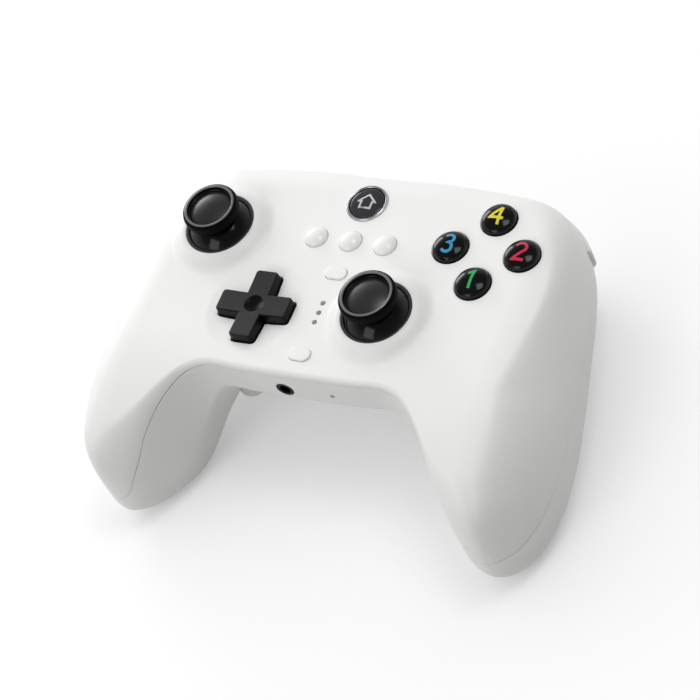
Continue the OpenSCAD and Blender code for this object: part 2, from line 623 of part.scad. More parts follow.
// Rumble motors in the grips, each turning an off-centre weight
motor_y = row_y - 43.6;
motor_z = 20;
shaft_r = 1;
weight_r = 7;
weight_l = 6;
module motor() color(grey) translate([motor_at, motor_y, motor_z]) rotate([-90, 0, 0]) {
    cylinder(r = motor_r, h = motor_l);
    translate([0, 0, -9]) cylinder(r = shaft_r, h = 10);
}
module weight() color(metal) translate([motor_at, motor_y - 2, motor_z]) rotate([90, 0, 0]) difference() {
    intersection() {
        cylinder(r = weight_r, h = weight_l);
        translate([-weight_r, -weight_r, 0]) cube([2 * weight_r, weight_r + 2.5, weight_l]);
    }
    translate([0, 0, -1]) cylinder(r = shaft_r + seat, h = weight_l + 2);
}
module motor_cradles() for (y = [motor_y + 3, motor_y + motor_l - 5]) let (floor_z = back_z([motor_at, y]) + wall / 2)
    difference() {
        translate([motor_at - 5, y, floor_z]) cube([10, 2, motor_z - floor_z - 2]);
        translate([motor_at, y - 1, motor_z]) rotate([-90, 0, 0]) cylinder(r = motor_r + seat, h = 4);
    }
module right_rumble_motor() motor();
module left_rumble_motor() mirror([1, 0, 0]) motor();
module right_rumble_weight() weight();
module left_rumble_weight() mirror([1, 0, 0]) weight();

// Battery, flat on the floor of the rear shell
battery_y = row_y - 5.6;
battery_z = back_z([0, battery_y]) + wall + 0.1;
module battery_pack() color("#3a4a63")
    translate([-battery_size.x / 2, battery_y - battery_size.y / 2, battery_z]) cube(battery_size);

module rear_shell() color(white) difference() {
    union() {
        shell_skin(-1);
        both_sides() {
            screw_posts();
            trigger_lugs();
            motor_cradles();
        }
    }
    both_sides() {
        screw_post_bores();
        bumper_pocket();
        trigger_slot();
        trigger_lug_bores();
        paddle_pocket();
    }
    translate([jack_x, low_edge - 5, jack_z]) rotate([-90, 0, 0]) cylinder(r = jack_collar_r + seat, h = wall + 8);
    translate([light_x, low_edge - 5, jack_z]) rotate([-90, 0, 0]) cylinder(r = light_r + 0.1, h = wall + 8);
    usb_bar(usb_w + 2 * seat, usb_h + 2 * seat, top_edge - wall - 1, wall + 6);
}

// Push buttons: a domed cap, a flange that keeps it in, and a stem down to the pad
flange_t = 1;
flange_gap = 0.4;
flange_top = face_h - sleeve_deep - flange_gap;
small_flange_top = under_face - flange_gap;
pad_t = 0.6;
pad_rise = 2.4;
stem_low = board_top + seat + pad_rise + face_travel + clear;
module round_button(d, top, dome, flange) {
    domed(d / 2, flange - flange_t, face_h + top, dome);
    translate([0, 0, flange - flange_t]) cylinder(r = d / 2 + flange_out, h = flange_t);
    translate([0, 0, stem_low]) cylinder(r = 1.6, h = flange - stem_low);
}
module face_button(k) color(black) at(face_buttons[k], 0)
    round_button(face_button_d, face_button_top, face_dome, flange_top);
module button_east() face_button(0);
module button_north() face_button(1);
module button_west() face_button(2);
module button_south() face_button(3);

home_ring_band = 0.7;
home_top = 0.9;
home_dome = 0.5;
module home_ring() color(metal) at(home, face_h - 1.6) difference() {
    cylinder(d = home_d, h = 2.2);
    translate([0, 0, -1]) cylinder(d = home_d - 2 * home_ring_band, h = 5);
}
module home_button() color(black) at(home, 0)
    round_button(home_d - 2 * home_ring_band - 2 * clear, home_top, home_dome, small_flange_top);

module menu_button(k) color(white) at(menu_row[k], 0) round_button(menu_d, menu_top, menu_dome, small_flange_top);
module menu_button_left() menu_button(0);
module menu_button_middle() menu_button(1);
module menu_button_right() menu_button(2);

pill_top = 0.6;
module pill_button() color(white) {
    low = small_flange_top - flange_t;
    translate([0, 0, low]) oblong(pill_l, pill_w, face_h + pill_top - low);
    translate([0, 0, low]) oblong(pill_l + 2 * flange_out, pill_w + 2 * flange_out, flange_t);
    translate([0, 0, stem_low]) cylinder(r = 1.2, h = small_flange_top - stem_low);
}
module upper_pill_button() at(upper_pill, 0) pill_button();
module lower_pill_button() at(lower_pill, 0) pill_button();

// Direction cross: two drafted bars on a flange, rocking on a small bead
flange_r = 10;
bead_r = 1.6;
module cross_bar() hull() {
    translate([-cross_span / 2, -cross_base_w / 2, face_h - 3]) cube([cross_span, cross_base_w, 1]);
    translate([-cross_span / 2 + cross_draft, -cross_w / 2, face_h + cross_top - 0.1])
        cube([cross_span - 2 * cross_draft, cross_w, 0.1]);
}
module dpad_cross() color(black) at(cross, 0) difference() {
    union() {
        cross_bar();
        rotate(90) cross_bar();
        translate([0, 0, face_h - 5.6]) cylinder(r = 4.4, h = 3.6);
        translate([0, 0, face_h - 6.5]) cylinder(r = flange_r, h = 1);
    }
    translate([0, 0, face_h + cross_top + 5.5]) sphere(r = 6, $fn = 64);
    translate([0, 0, face_h - 7]) cylinder(r = bead_r + 0.5, h = 1.4);
}
module dpad_pivot() color(rubber) at(cross, 0) domed(bead_r, board_top + 0.4, face_h - 5.9, 0.6);

// Silicone pads on the board, with a soft dome under every button
module pad_domes(places, r) for (p = places) at(p, board_top + seat) cylinder(r1 = r, r2 = r * 0.7, h = pad_rise);
module face_button_pad() color(rubber) {
    at(diamond, board_top + seat) cylinder(r = diamond_r + 4.5, h = pad_t);
    pad_domes(face_buttons, 3.4);
}
module dpad_pad() color(rubber) difference() {
    union() {
        at(cross, board_top + seat) cylinder(r = 11, h = pad_t);
        pad_domes([for (a = [0:90:270]) cross + 7.5 * [cos(a), sin(a)]], 2.6);
    }
    at(cross, 0) translate([0, 0, board_top - 1]) cylinder(r = bead_r + 0.7, h = 5);
}
module menu_pad() color(rubber) {
    translate([-4, upper_pill.y - 4, board_top + seat]) cube([8, home.y - upper_pill.y + 8, pad_t]);
    translate([-menu_pitch - 4, menu_row[0].y - 4, board_top + seat]) cube([2 * menu_pitch + 8, 8, pad_t]);
    at(lower_pill, board_top + seat) translate([-1.7, -2.5, 0]) cube([5, 5, pad_t]);
    pad_domes(concat(menu_row, [home, upper_pill, lower_pill]), 1.6);
}

// Main board, cut round the sockets, with the switches of the bumpers under it
board_shoulder = row_y + 13.4;
board_wing = board_shoulder + 3;
board_tab_w = 16;
board_tab_end = top_edge - usb_l + 3;
board_foot = [-1.8, 8.2];
board_foot_end = lower_pill.y - 3;
// The board's right edge, from its shoulder down to its lower edge
board_side = [
    [placed_x(29), board_shoulder], [placed_x(32), board_wing], [placed_x(46), board_wing],
    [placed_x(56), row_y + 6], [placed_x(57), row_y - 13.6],
    [placed_x(46), row_y - 27.6], [placed_x(34), board_low],
];
module main_board() color(green) translate([0, 0, board_bottom]) difference() {
    linear_extrude(board_t) polygon(concat(
        [[-board_tab_w / 2, board_shoulder], [-board_tab_w / 2, board_tab_end],
            [board_tab_w / 2, board_tab_end], [board_tab_w / 2, board_shoulder]],
        board_side,
        [[board_foot[1], board_low], [board_foot[1], board_foot_end],
            [board_foot[0], board_foot_end], [board_foot[0], board_low]],
        [for (k = [len(board_side) - 1:-1:0]) [-board_side[k].x, board_side[k].y]]
    ));
    both_sides() for (p = board_posts) at(p, -1) cylinder(r = board_screw_r + 0.1, h = board_t + 2);
}
switch_at = [placed_x(49.5), row_y + 10.4];
module bumper_switches() color(black) both_sides()
    translate([switch_at.x - 3, switch_at.y - 3, board_bottom - 4 - seat]) cube([6, 6, 4]);

// Thumb sticks: cap with its round skirt, stem, rocker and gimbal frame in a square housing
skirt_t = 1.3;
neck_r = 4.6;
stem_r = 2;
stem_drop = 2.6;
gimbal_w = 10.6;
gimbal_in = 8;
gimbal_t = 2.5;
rocker_w = 6.6;
trunnion_r = 1.2;
housing_wall = 0.9;
housing_top = pivot_z + 1.8;
skirt_span = 82;
stem_cover = 2.5;
// The cap's underside is a cone that clears the collar when the stick is tilted both ways and clicked
stick_tilt = 18;
stick_click = 0.5;
corner_tilt = acos(cos(stick_tilt) ^ 2);
function under_z(r) = (pivot_depth + clear) / cos(corner_tilt) + r * tan(corner_tilt) + stick_click;
cap_edge = 0.5;
cap_z = ring_z + cap_top - pivot_z;
// Crowned pad on the cap, inside a groove and a rim
rim_r = cap_d / 2 - 1.2;
rim_drop = (cap_z - under_z(cap_d / 2)) / 2;
groove_r = rim_r - 1;
groove_sink = 1;
pad_sink = 0.25;
function stick_profile() = concat(
    arc([0, 0], dome_r, 90 - skirt_span, acos(neck_r / dome_r), 12),
    [[neck_r, under_z(neck_r)], [cap_d / 2 - cap_edge, under_z(cap_d / 2 - cap_edge)],
        [cap_d / 2, under_z(cap_d / 2 - cap_edge) + cap_edge], [cap_d / 2, cap_z - rim_drop],
        [cap_d / 2 - 0.3, cap_z - rim_drop / 2], [rim_r + 0.3, cap_z], [rim_r - 0.3, cap_z]],
    [for (k = [5:-1:0]) [groove_r * k / 5, cap_z - mix(pad_sink, groove_sink, (k / 5) ^ 2)]],
    [for (p = arc([0, 0], dome_r - skirt_t, 90, 90 - skirt_span, 12)) [max(0, p.x), p.y]]
);
module stick_cap() color(black) translate([0, 0, pivot_z]) difference() {
    rotate_extrude() polygon(stick_profile());
    cylinder(r = stem_r + 0.02, h = cap_z - stem_cover);
}
module stick_stem() color(metal) translate([0, 0, pivot_z - stem_drop])
    cylinder(r = stem_r, h = stem_drop + cap_z - stem_cover - 0.1);
module stick_rocker() color(rubber) translate([0, 0, pivot_z]) difference() {
    union() {
        translate([-rocker_w / 2, -rocker_w / 2, -1.6]) cube([rocker_w, rocker_w, 3.2]);
        rotate([90, 0, 0]) translate([0, 0, -gimbal_w / 2]) cylinder(r = trunnion_r, h = gimbal_w);
    }
    translate([0, 0, -5]) cylinder(r = stem_r + seat, h = 10);
}
module stick_gimbal() color(grey) translate([0, 0, pivot_z]) difference() {
    union() {
        translate([-gimbal_w / 2, -gimbal_w / 2, -gimbal_t / 2 - 0.6]) cube([gimbal_w, gimbal_w, gimbal_t + 1.2]);
        rotate([0, 90, 0]) translate([0, 0, -housing_w / 2]) cylinder(r = trunnion_r, h = housing_w);
    }
    translate([-gimbal_in / 2, -gimbal_in / 2, -3]) cube([gimbal_in, gimbal_in, 6]);
    rotate([90, 0, 0]) translate([0, 0, -housing_w / 2]) cylinder(r = trunnion_r + seat, h = housing_w);
}
module stick_housing() color(metal) difference() {
    translate([-housing_w / 2, -housing_w / 2, board_top + seat])
        cube([housing_w, housing_w, housing_top - board_top - seat]);
    translate([-housing_w / 2 + housing_wall, -housing_w / 2 + housing_wall, board_top + 1])
        cube([housing_w - 2 * housing_wall, housing_w - 2 * housing_wall, 20]);
    translate([-housing_w, 0, pivot_z]) rotate([0, 90, 0]) cylinder(r = trunnion_r + seat, h = 2 * housing_w);
}
module stick_sensors() color(black) for (a = [0, 90]) rotate(a)
    translate([-4, housing_w / 2 + seat, board_top + seat]) cube([8, 2, pivot_z - board_top - 2]);
module left_stick_cap() at(left_stick, 0) stick_cap();
module left_stick_stem() at(left_stick, 0) stick_stem();
module left_stick_rocker() at(left_stick, 0) stick_rocker();
module left_stick_gimbal() at(left_stick, 0) stick_gimbal();
module left_stick_housing() at(left_stick, 0) stick_housing();
module left_stick_sensors() at(left_stick, 0) stick_sensors();
module right_stick_cap() at(right_stick, 0) stick_cap();
module right_stick_stem() at(right_stick, 0) stick_stem();
module right_stick_rocker() at(right_stick, 0) stick_rocker();
module right_stick_gimbal() at(right_stick, 0) stick_gimbal();
module right_stick_housing() at(right_stick, 0) stick_housing();
module right_stick_sensors() at(right_stick, 0) stick_sensors();

front_shell();
rear_shell();
shell_screws();
left_stick_ring();
right_stick_ring();
home_ring();
status_lights();
charge_light();
jack_socket();
usb_socket();
button_south();
button_east();
button_west();
button_north();
home_button();
menu_button_left();
menu_button_middle();
menu_button_right();
upper_pill_button();
lower_pill_button();
dpad_cross();
dpad_pivot();
left_stick_cap();
left_stick_stem();
left_stick_rocker();
left_stick_gimbal();
left_stick_housing();
left_stick_sensors();
right_stick_cap();
right_stick_stem();
right_stick_rocker();
right_stick_gimbal();
right_stick_housing();
right_stick_sensors();
left_bumper();
right_bumper();
left_trigger();
right_trigger();
trigger_pins();
trigger_springs();
left_paddle();
right_paddle();
main_board();
board_screws();
face_button_pad();
dpad_pad();
menu_pad();
bumper_switches();
paddle_switches();
left_rumble_motor();
right_rumble_motor();
left_rumble_weight();
right_rumble_weight();
battery_pack();
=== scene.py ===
import json
import math

import bmesh
import bpy
import numpy as np
from mathutils import Matrix, Vector


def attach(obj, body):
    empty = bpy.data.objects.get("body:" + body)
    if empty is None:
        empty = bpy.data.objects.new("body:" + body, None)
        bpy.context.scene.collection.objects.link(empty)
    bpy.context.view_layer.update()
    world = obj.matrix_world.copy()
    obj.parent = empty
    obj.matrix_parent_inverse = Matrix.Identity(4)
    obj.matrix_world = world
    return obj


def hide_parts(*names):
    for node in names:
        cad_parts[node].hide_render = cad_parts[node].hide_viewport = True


# Two-handed gamepad in white plastic with black controls, lying on its grips and triggers.
# Lengths are written in millimetres and turned to the frame's metres where a mesh is made.
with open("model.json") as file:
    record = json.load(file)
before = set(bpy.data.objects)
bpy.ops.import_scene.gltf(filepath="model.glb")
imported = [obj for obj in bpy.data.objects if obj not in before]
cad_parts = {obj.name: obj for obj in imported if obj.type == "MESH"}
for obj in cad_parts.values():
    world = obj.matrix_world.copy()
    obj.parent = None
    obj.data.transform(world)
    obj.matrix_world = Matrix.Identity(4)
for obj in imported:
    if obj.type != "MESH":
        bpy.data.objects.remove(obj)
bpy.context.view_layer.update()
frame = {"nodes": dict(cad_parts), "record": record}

# Front shell
# The face of the body is one moulding in white ABS with a fine satin grain. Soft collars rise round
# the thumb sticks, a shallow dish lies round the cross, and bosses under the face take the screws.
MM = 0.001
FACE_H = 49.8
ROW_Y = 23.6
WALL = 2.2
SEAM_GAP = 0.2
CLEAR = 0.3
SEAT = 0.05

# Plan of the body: each section runs from the lower or inner edge of the outline to the top or outer one
INNER_EDGE = [
    (0, -46.5), (16, -46.3), (25, -45.7), (29.5, -46.1), (33, -47.5), (36, -49.7), (38.5, -52.5), (41, -56),
    (43.5, -60), (46.5, -65), (49.3, -69.3), (52, -72.7), (54.8, -74.8), (57.6, -75.7), (59.8, -75.8),
]
OUTER_EDGE = [
    (0, 26.5), (18, 27), (36, 27), (49.5, 26.2), (58.3, 21.6), (63.8, 13.9), (67.8, 2.1), (71, -14.5),
    (73, -32.5), (73.3, -47.5), (72, -58), (70, -65), (67.3, -70), (64.4, -73.3), (62.2, -75),
]
SEAM_INNER = [2, 2, 2.2, 2.5, 3, 4, 5.5, 7.5, 10.5, 15.5, 22, 27.5, 32.5, 34.5, 34.5]
SEAM_OUTER = [8.5, 8.5, 10.5, 13, 15.5, 18, 20.5, 22.5, 25.5, 29, 32, 33.5, 34.5, 34.5, 34.5]
FACE_ROLL_INNER = [1.5, 1.5, 1.5, 1.5, 1.5, 1.5, 1.5, 2, 2.5, 4, 6, 7, 6, 3.4, 1.2]
FACE_ROLL_OUTER = [10, 11, 13, 14, 13, 11, 11, 17, 21, 18, 14, 9, 6, 3.4, 1.2]
BACK_ROLL_INNER = [3, 3, 4, 5, 6, 7, 8, 8, 8, 8, 8, 7, 6, 3.4, 1.2]
BACK_ROLL_OUTER = [6, 6, 7, 8, 9, 9, 9, 9, 9, 9, 9, 8, 6, 3.4, 1.2]
BACK_RISE_INNER = [3, 3, 3, 4, 6, 8, 10, 11, 11, 11, 10.5, 10, 9, 8, 8]
BACK_RISE_OUTER = [6, 6, 7, 8, 9, 9, 9, 10, 11, 12, 11.5, 10.5, 9, 8, 8]
FULLNESS = [1, 1, 1, 1, 1, 1, 1, 1, 1, 1, 1, 0.96, 0.88, 0.7, 0.4]
GRIP_BACK_Y = [-84.5, -74.5, -64.5, -54.5, -39.5, -24.5, -9.5, 5.5, 35.5]
GRIP_BACK_Z = [7.2, 2.7, -0.1, 0.3, 4.3, 10.3, 15.3, 17.3, 17.3]
LAST = len(FULLNESS) - 1
CAVITY_END = 11
SEAM_FLOOR = 0.3
SEAM_LIP = 0.25
LIP_SHARE = 0.08
SKIN_PITCH = 0.75
ROLL_STEPS = 14
FLAT_STEPS = 72
TIP_RINGS = [0.7, 0.35]
SIDE_FALL_FROM = 54
SIDE_FALL = 0.02
BEND_FROM_Y = ROW_Y - 36.5
BEND_LENGTH = 57
BEND_DROP = 28
BEND_SPAN = (10, 41)
BACK_MIDDLE_Z = 16.8
BACK_SLOPE = 20
BACK_SLOPE_Y = (-50.5, -20.5)
BACK_SOFT_Y = np.linspace(-6, 6, 9)
BACK_GRIP_SPAN = (25, 46)

PLAN = np.hstack([
    np.array(INNER_EDGE, float) + (0, ROW_Y), np.array(OUTER_EDGE, float) + (0, ROW_Y),
    np.array([
        SEAM_INNER, SEAM_OUTER, FACE_ROLL_INNER, FACE_ROLL_OUTER, BACK_ROLL_INNER, BACK_ROLL_OUTER,
        BACK_RISE_INNER, BACK_RISE_OUTER, FULLNESS,
    ]).T,
])
MIRROR = np.array([-1, 1, -1] + [1] * (PLAN.shape[1] - 3))


def ease(start, end, x):
    """Smooth step from 0 to 1 as x goes from start to end."""
    t = np.clip((x - start) / (end - start), 0, 1)
    return t * t * (3 - 2 * t)


def plan_row(i):
    """A section's values, mirrored past the middle plane and carried on past the tip."""
    if i < 0:
        return PLAN[-i] * MIRROR
    if i > LAST:
        return 2 * PLAN[LAST] - PLAN[LAST - 1]
    return PLAN[i]


def section_at(u):
    """Smooth curve through the sections; u runs from 0 at the middle plane to LAST at the grip's tip."""
    i = min(int(u), LAST - 1)
    t = u - i
    a, b, c, d = (plan_row(i + k) for k in (-1, 0, 1, 2))
    square = 2 * a - 5 * b + 4 * c - d
    cube = 3 * b - 3 * c + d - a
    return 0.5 * (2 * b + (c - a) * t + square * t ** 2 + cube * t ** 3)


def face_height(p):
    """The face is flat, falls away at the sides and bends down along the grips."""
    x = np.abs(p[:, 0])
    down = np.maximum(0, BEND_FROM_Y - p[:, 1])
    fall = SIDE_FALL * np.maximum(0, x - SIDE_FALL_FROM) ** 2
    return FACE_H - fall - BEND_DROP * (down / BEND_LENGTH) ** 2 * ease(*BEND_SPAN, x)


def back_height(p):
    """The back has a raised middle that slopes up to the lower wall, and deeper grips."""
    y = p[:, 1] - ROW_Y
    middle = BACK_MIDDLE_Z + BACK_SLOPE * (1 - ease(*BACK_SLOPE_Y, y))
    grip = np.mean([np.interp(y + shift, GRIP_BACK_Y, GRIP_BACK_Z) for shift in BACK_SOFT_Y], axis=0)
    return middle + (grip - middle) * ease(*BACK_GRIP_SPAN, np.abs(p[:, 0]))


STICKS = {"left": np.array((-42, ROW_Y - 1.4)), "right": np.array((18.6, ROW_Y - 24))}
COLLAR_H = 2.6
COLLAR_TOP_R = 11.2
COLLAR_FOOT_R = 16.2
CROSS = np.array((-19.8, ROW_Y - 26.4))
DISH_R = 15.5
DISH_DEPTH = 1.75
DISH_SOFT = 0.06


def face_relief(p):
    """Collars round the sticks and the dish round the cross, as heights over the plain face."""
    rise = np.zeros(len(p))
    for middle in STICKS.values():
        r = np.linalg.norm(p - middle, axis=1)
        rise = np.maximum(rise, COLLAR_H * (1 - ease(COLLAR_TOP_R, COLLAR_FOOT_R, r)))
    bowl = np.maximum(0, 1 - (np.linalg.norm(p - CROSS, axis=1) / DISH_R) ** 2)
    return rise - DISH_DEPTH * (1 + DISH_SOFT) * bowl ** 2 / (bowl + DISH_SOFT)


def skin_line(s, side, inset, rolls, flats):
    """One section's line over the face (side 1) or under the back (side -1), set in from the outside."""
    start = s[0:2]
    chord = np.linalg.norm(s[2:4] - start)
    way = (s[2:4] - start) / chord
    near, far = inset, chord - inset
    reach = s[6:8] if side > 0 else s[8:10]
    roll_near, roll_far = np.minimum(reach, (far - near) / 2)
    turn = np.linspace(0, math.pi / 2, rolls + 1)
    flat = np.linspace(near + roll_near, far - roll_far, flats + 1)[1:-1]
    d = np.concatenate([
        near + roll_near * (1 - np.cos(turn)), flat, (far - roll_far * (1 - np.cos(turn)))[::-1]])
    lift = np.concatenate([np.sin(turn), np.ones(len(flat)), np.sin(turn)[::-1]])
    edge = np.where(np.arange(len(d)) < len(d) / 2, near, far)
    p = start + np.outer(d, way)

    def seam(along):
        return FACE_H - s[4] - (s[5] - s[4]) * along / chord + side * SEAM_GAP / 2

    here = seam(d)
    rim = seam(edge)
    if side > 0:
        full = np.maximum(here, here + (face_height(p) - inset - here) * s[12])
        z = np.maximum(here, rim + (full - rim) * lift)
        z = z + (face_relief(p) if inset == 0 else 0)
    else:
        full = np.minimum(here - SEAM_FLOOR, here + (back_height(p) + inset - here) * s[12])
        rise = (s[10] + (s[11] - s[10]) * edge / chord) * s[12]
        foot = np.minimum(rim - SEAM_FLOOR, full + rise)
        z = np.minimum(here - SEAM_FLOOR, foot + (full - foot) * lift)
    line = np.column_stack([p, z])
    if inset > 0 and side > 0:
        return line
    lip = min(SEAM_LIP, LIP_SHARE * abs(z[len(z) // 2] - rim[0])) if inset == 0 else 0
    ends = []
    for k, inward in ((0, lip), (-1, -lip)):
        on_seam = np.append(start + way * (edge[k] + inward), seam(edge[k] + inward))
        below_lip = np.append(start + way * edge[k], seam(edge[k]) + side * lip)
        ends.append((on_seam, below_lip))
    if side > 0:
        return np.vstack([ends[0][0], ends[0][1], line[1:-1], ends[1][1], ends[1][0]])
    if lip == 0:
        return np.vstack([ends[0][0], line, ends[1][0]])
    return np.vstack([ends[0][0], ends[0][1], line, ends[1][1], ends[1][0]])


def shell_sections():
    """Sections from one grip's tip to the other's, about SKIN_PITCH apart, and the cavity's ends."""
    steps = []
    for i in range(LAST):
        span = max(np.linalg.norm((PLAN[i + 1] - PLAN[i])[k:k + 2]) for k in (0, 2))
        count = max(3, math.ceil(span / SKIN_PITCH))
        steps += [i + k / count for k in range(count)]
    steps.append(LAST)
    right = [section_at(u) for u in steps]
    whole = [s * MIRROR for s in right[:0:-1]] + right
    reach = steps.index(CAVITY_END)
    middle = len(steps) - 1
    return whole, middle - reach, middle + reach


def shell_skin(side):
    """Points and faces of a closed shell with a cavity that stops short of the grip tips."""
    sections, first, final = shell_sections()
    outer = [skin_line(s, side, 0, ROLL_STEPS, FLAT_STEPS) for s in sections]
    inner = [skin_line(s, side, WALL, ROLL_STEPS // 2, FLAT_STEPS // 4) for s in sections[first:final + 1]]

    def closing(ring):
        seat = (ring[0] + ring[-1]) / 2
        return [seat + (ring - seat) * share for share in TIP_RINGS]

    outer = closing(outer[0])[::-1] + outer + closing(outer[-1])
    first += len(TIP_RINGS)
    final += len(TIP_RINGS)
    n, m, w = len(outer), len(outer[0]), len(inner[0])
    e, f = m - 1, w - 1

    def o(i, j):
        return i * m + j

    def v(i, j):
        return n * m + (i - first) * w + j

    faces = [(o(i, j), o(i, j + 1), o(i + 1, j + 1), o(i + 1, j))
             for i in range(n - 1) for j in range(e)]
    faces += [(v(i, j), v(i + 1, j), v(i + 1, j + 1), v(i, j + 1))
              for i in range(first, final) for j in range(f)]
    for i in range(first, final):
        faces.append((o(i, 0), o(i + 1, 0), v(i + 1, 0), v(i, 0)))
        faces.append((o(i + 1, e), o(i, e), v(i, f), v(i + 1, f)))
    solid_ends = [i for i in range(n - 1) if i < first - 1 or i > final]
    faces += [(o(i, 0), o(i, e), o(i + 1, e), o(i + 1, 0)) for i in solid_ends]
    for i, beyond in ((first, first - 1), (final, final + 1)):
        faces.append([v(i, j) for j in range(w)])
        strip = [o(i, 0), v(i, 0), v(i, f), o(i, e), o(beyond, e)]
        faces += [(o(beyond, 0), a, b) for a, b in zip(strip, strip[1:])]
    faces += [[o(i, j) for j in range(m)] for i in (0, n - 1)]
    return np.vstack(outer + inner), faces


def solid(name, points, faces):
    """A closed mesh object from points in millimetres, with its faces turned outwards."""
    mesh = bpy.data.meshes.new(name)
    mesh.from_pydata((np.asarray(points, float) * MM).tolist(), [], [list(face) for face in faces])
    work = bmesh.new()
    work.from_mesh(mesh)
    bmesh.ops.recalc_face_normals(work, faces=work.faces)
    work.to_mesh(mesh)
    work.free()
    piece = bpy.data.objects.new(name, mesh)
    bpy.context.scene.collection.objects.link(piece)
    return piece


def loft(rings):
    """Points and faces of a skin through rings of points, capped at both ends."""
    count = len(rings[0])
    faces = []
    for i in range(len(rings) - 1):
        for j in range(count):
            k = (j + 1) % count
            faces.append((i * count + j, i * count + k, (i + 1) * count + k, (i + 1) * count + j))
    faces.append(range(count))
    faces.append(range((len(rings) - 1) * count, len(rings) * count))
    return np.vstack(rings), faces


def circle(r, z, middle=(0, 0), count=64):
    """One ring of a turned form."""
    turn = np.linspace(0, 2 * math.pi, count, endpoint=False)
    return np.column_stack([middle[0] + r * np.cos(turn), middle[1] + r * np.sin(turn), np.full(count, z)])


def turned(name, profile, middle=(0, 0), count=64):
    """A turned solid through (radius, height) pairs."""
    return solid(name, *loft([circle(max(r, 0.02), z, middle, count) for r, z in profile]))


def peg(name, r, low, high, middle, count=64):
    """A round bar along Z, used as a rib or as a cutting tool."""
    return turned(name, [(0, low), (r, low), (r, high), (0, high)], middle, count)


def block(name, low, high):
    """A box between two corners, used as a rib or as a cutting tool."""
    rings = [[(low[0], low[1], z), (high[0], low[1], z), (high[0], high[1], z), (low[0], high[1], z)]
             for z in (low[2], high[2])]
    return solid(name, *loft([np.array(ring, float) for ring in rings]))


def plain_mesh(piece):
    """Turns a piece's modifiers into its own mesh."""
    result = bpy.data.meshes.new_from_object(piece.evaluated_get(bpy.context.evaluated_depsgraph_get()))
    piece.modifiers.clear()
    piece.data = result


def combine(piece, tool, how):
    """Joins a tool to a piece (UNION) or cuts it away (DIFFERENCE), and deletes the tool."""
    step = piece.modifiers.new("shape", "BOOLEAN")
    step.object = tool
    step.operation = how
    step.solver = "MANIFOLD"
    plain_mesh(piece)
    bpy.data.objects.remove(tool)


def flared(r, depth=20, chamfer=0.25):
    """Profile of a drill through the face that breaks the edge of its hole."""
    return [(0, FACE_H - depth), (r, FACE_H - depth), (r, FACE_H - chamfer), (r + chamfer, FACE_H),
            (r + chamfer, FACE_H + depth), (0, FACE_H + depth)]


def plus_ring(half_span, half_w, z, corner, steps=1):
    """Outline of the direction cross: rounded corners at the ends of the arms, square ones between them."""
    near, far = half_span - corner, half_w - corner
    bend = np.radians(np.linspace(0, 90, 5))
    arm = [(half_w + (near - half_w) * k / steps, -half_w) for k in range(steps)]
    arm += [(near + corner * math.sin(a), -far - corner * math.cos(a)) for a in bend]
    arm += [(near + corner * math.cos(a), far + corner * math.sin(a)) for a in bend]
    arm += [(near + (half_w - near) * k / steps, half_w) for k in range(1, steps)]
    quarter = np.array(((0, 1), (-1, 0)))
    ring = np.vstack([np.array(arm) @ np.linalg.matrix_power(quarter, k) for k in range(4)])
    return np.column_stack([ring + CROSS, np.full(len(ring), z)])


def oblong_ring(length, width, z, middle=(0, 0), along_y=False, count=24):
    """Outline of a slot with round ends."""
    turn = np.linspace(-math.pi / 2, math.pi / 2, count)
    half = (length - width) / 2
    east = np.column_stack([half + width / 2 * np.cos(turn), width / 2 * np.sin(turn)])
    ring = np.vstack([east, -east])
    if along_y:
        ring = ring[:, ::-1] * (1, -1)
    return np.column_stack([ring + middle, np.full(len(ring), z)])


DOME_R = 12
PIVOT_DEEP = 7.6
RING_Z = FACE_H + COLLAR_H
PIVOT_Z = RING_Z - PIVOT_DEEP
RING_T = 0.8
RING_BAND = 0.85
RING_FOOT = 0.3
MOUTH_OUT = 0.2
MOUTH_Z = (RING_Z - 0.1, RING_Z + 0.05)


def skirt_radius(z):
    """Radius of the round skirt under a stick cap, at a height."""
    return math.sqrt(DOME_R ** 2 - (z - PIVOT_Z) ** 2)


RING_IN_TOP = skirt_radius(RING_Z) + CLEAR
RING_IN_LOW = skirt_radius(RING_Z - RING_T) + CLEAR
RING_OUT = max(RING_IN_TOP + RING_BAND, RING_IN_LOW + RING_FOOT)
DIAMOND = np.array((42, ROW_Y + 1.5))
DIAMOND_R = 11
FACE_BUTTON_R = 5.15
FACE_BUTTONS = {
    "east": DIAMOND + (DIAMOND_R, 0), "north": DIAMOND + (0, DIAMOND_R),
    "west": DIAMOND - (DIAMOND_R, 0), "south": DIAMOND - (0, DIAMOND_R),
}
HOME = (0, ROW_Y + 13.1)
HOME_R = 6.2
MENU_R = 3.45
MENU_ROW = {"left": (-11.1, ROW_Y - 0.4), "middle": (0, ROW_Y - 0.4), "right": (11.1, ROW_Y - 0.4)}
PILL_L = 6.8
PILL_W = 4.2
PILLS = {"upper": (0, ROW_Y - 11.7), "lower": (0, ROW_Y - 39.6)}
LIGHT_PITCH = 3.25
LIGHTS_Y = [ROW_Y - 25.2 + k * LIGHT_PITCH for k in (-1, 0, 1)]
LIGHT_R = 0.65
LIGHT_GAP = 0.1
CROSS_HALF_SPAN = 11.4
CROSS_HALF_BASE = 3.7
CROSS_CORNER = 0.9
CROSS_GAP = 0.35
SMALL_GAP = 0.08
SMALL_CHAMFER = 0.1
SLEEVE_DEEP = 3.6
SLEEVE_WALL = 1
STICK_BOSS_DEEP = 4.6
STICK_BOSS_WALL = 1.6
STICK_ROOM_DEEP = 8
CROSS_BOSS_R = 16.5
CROSS_BOSS_Z = (FACE_H - 4.2, FACE_H - 2)
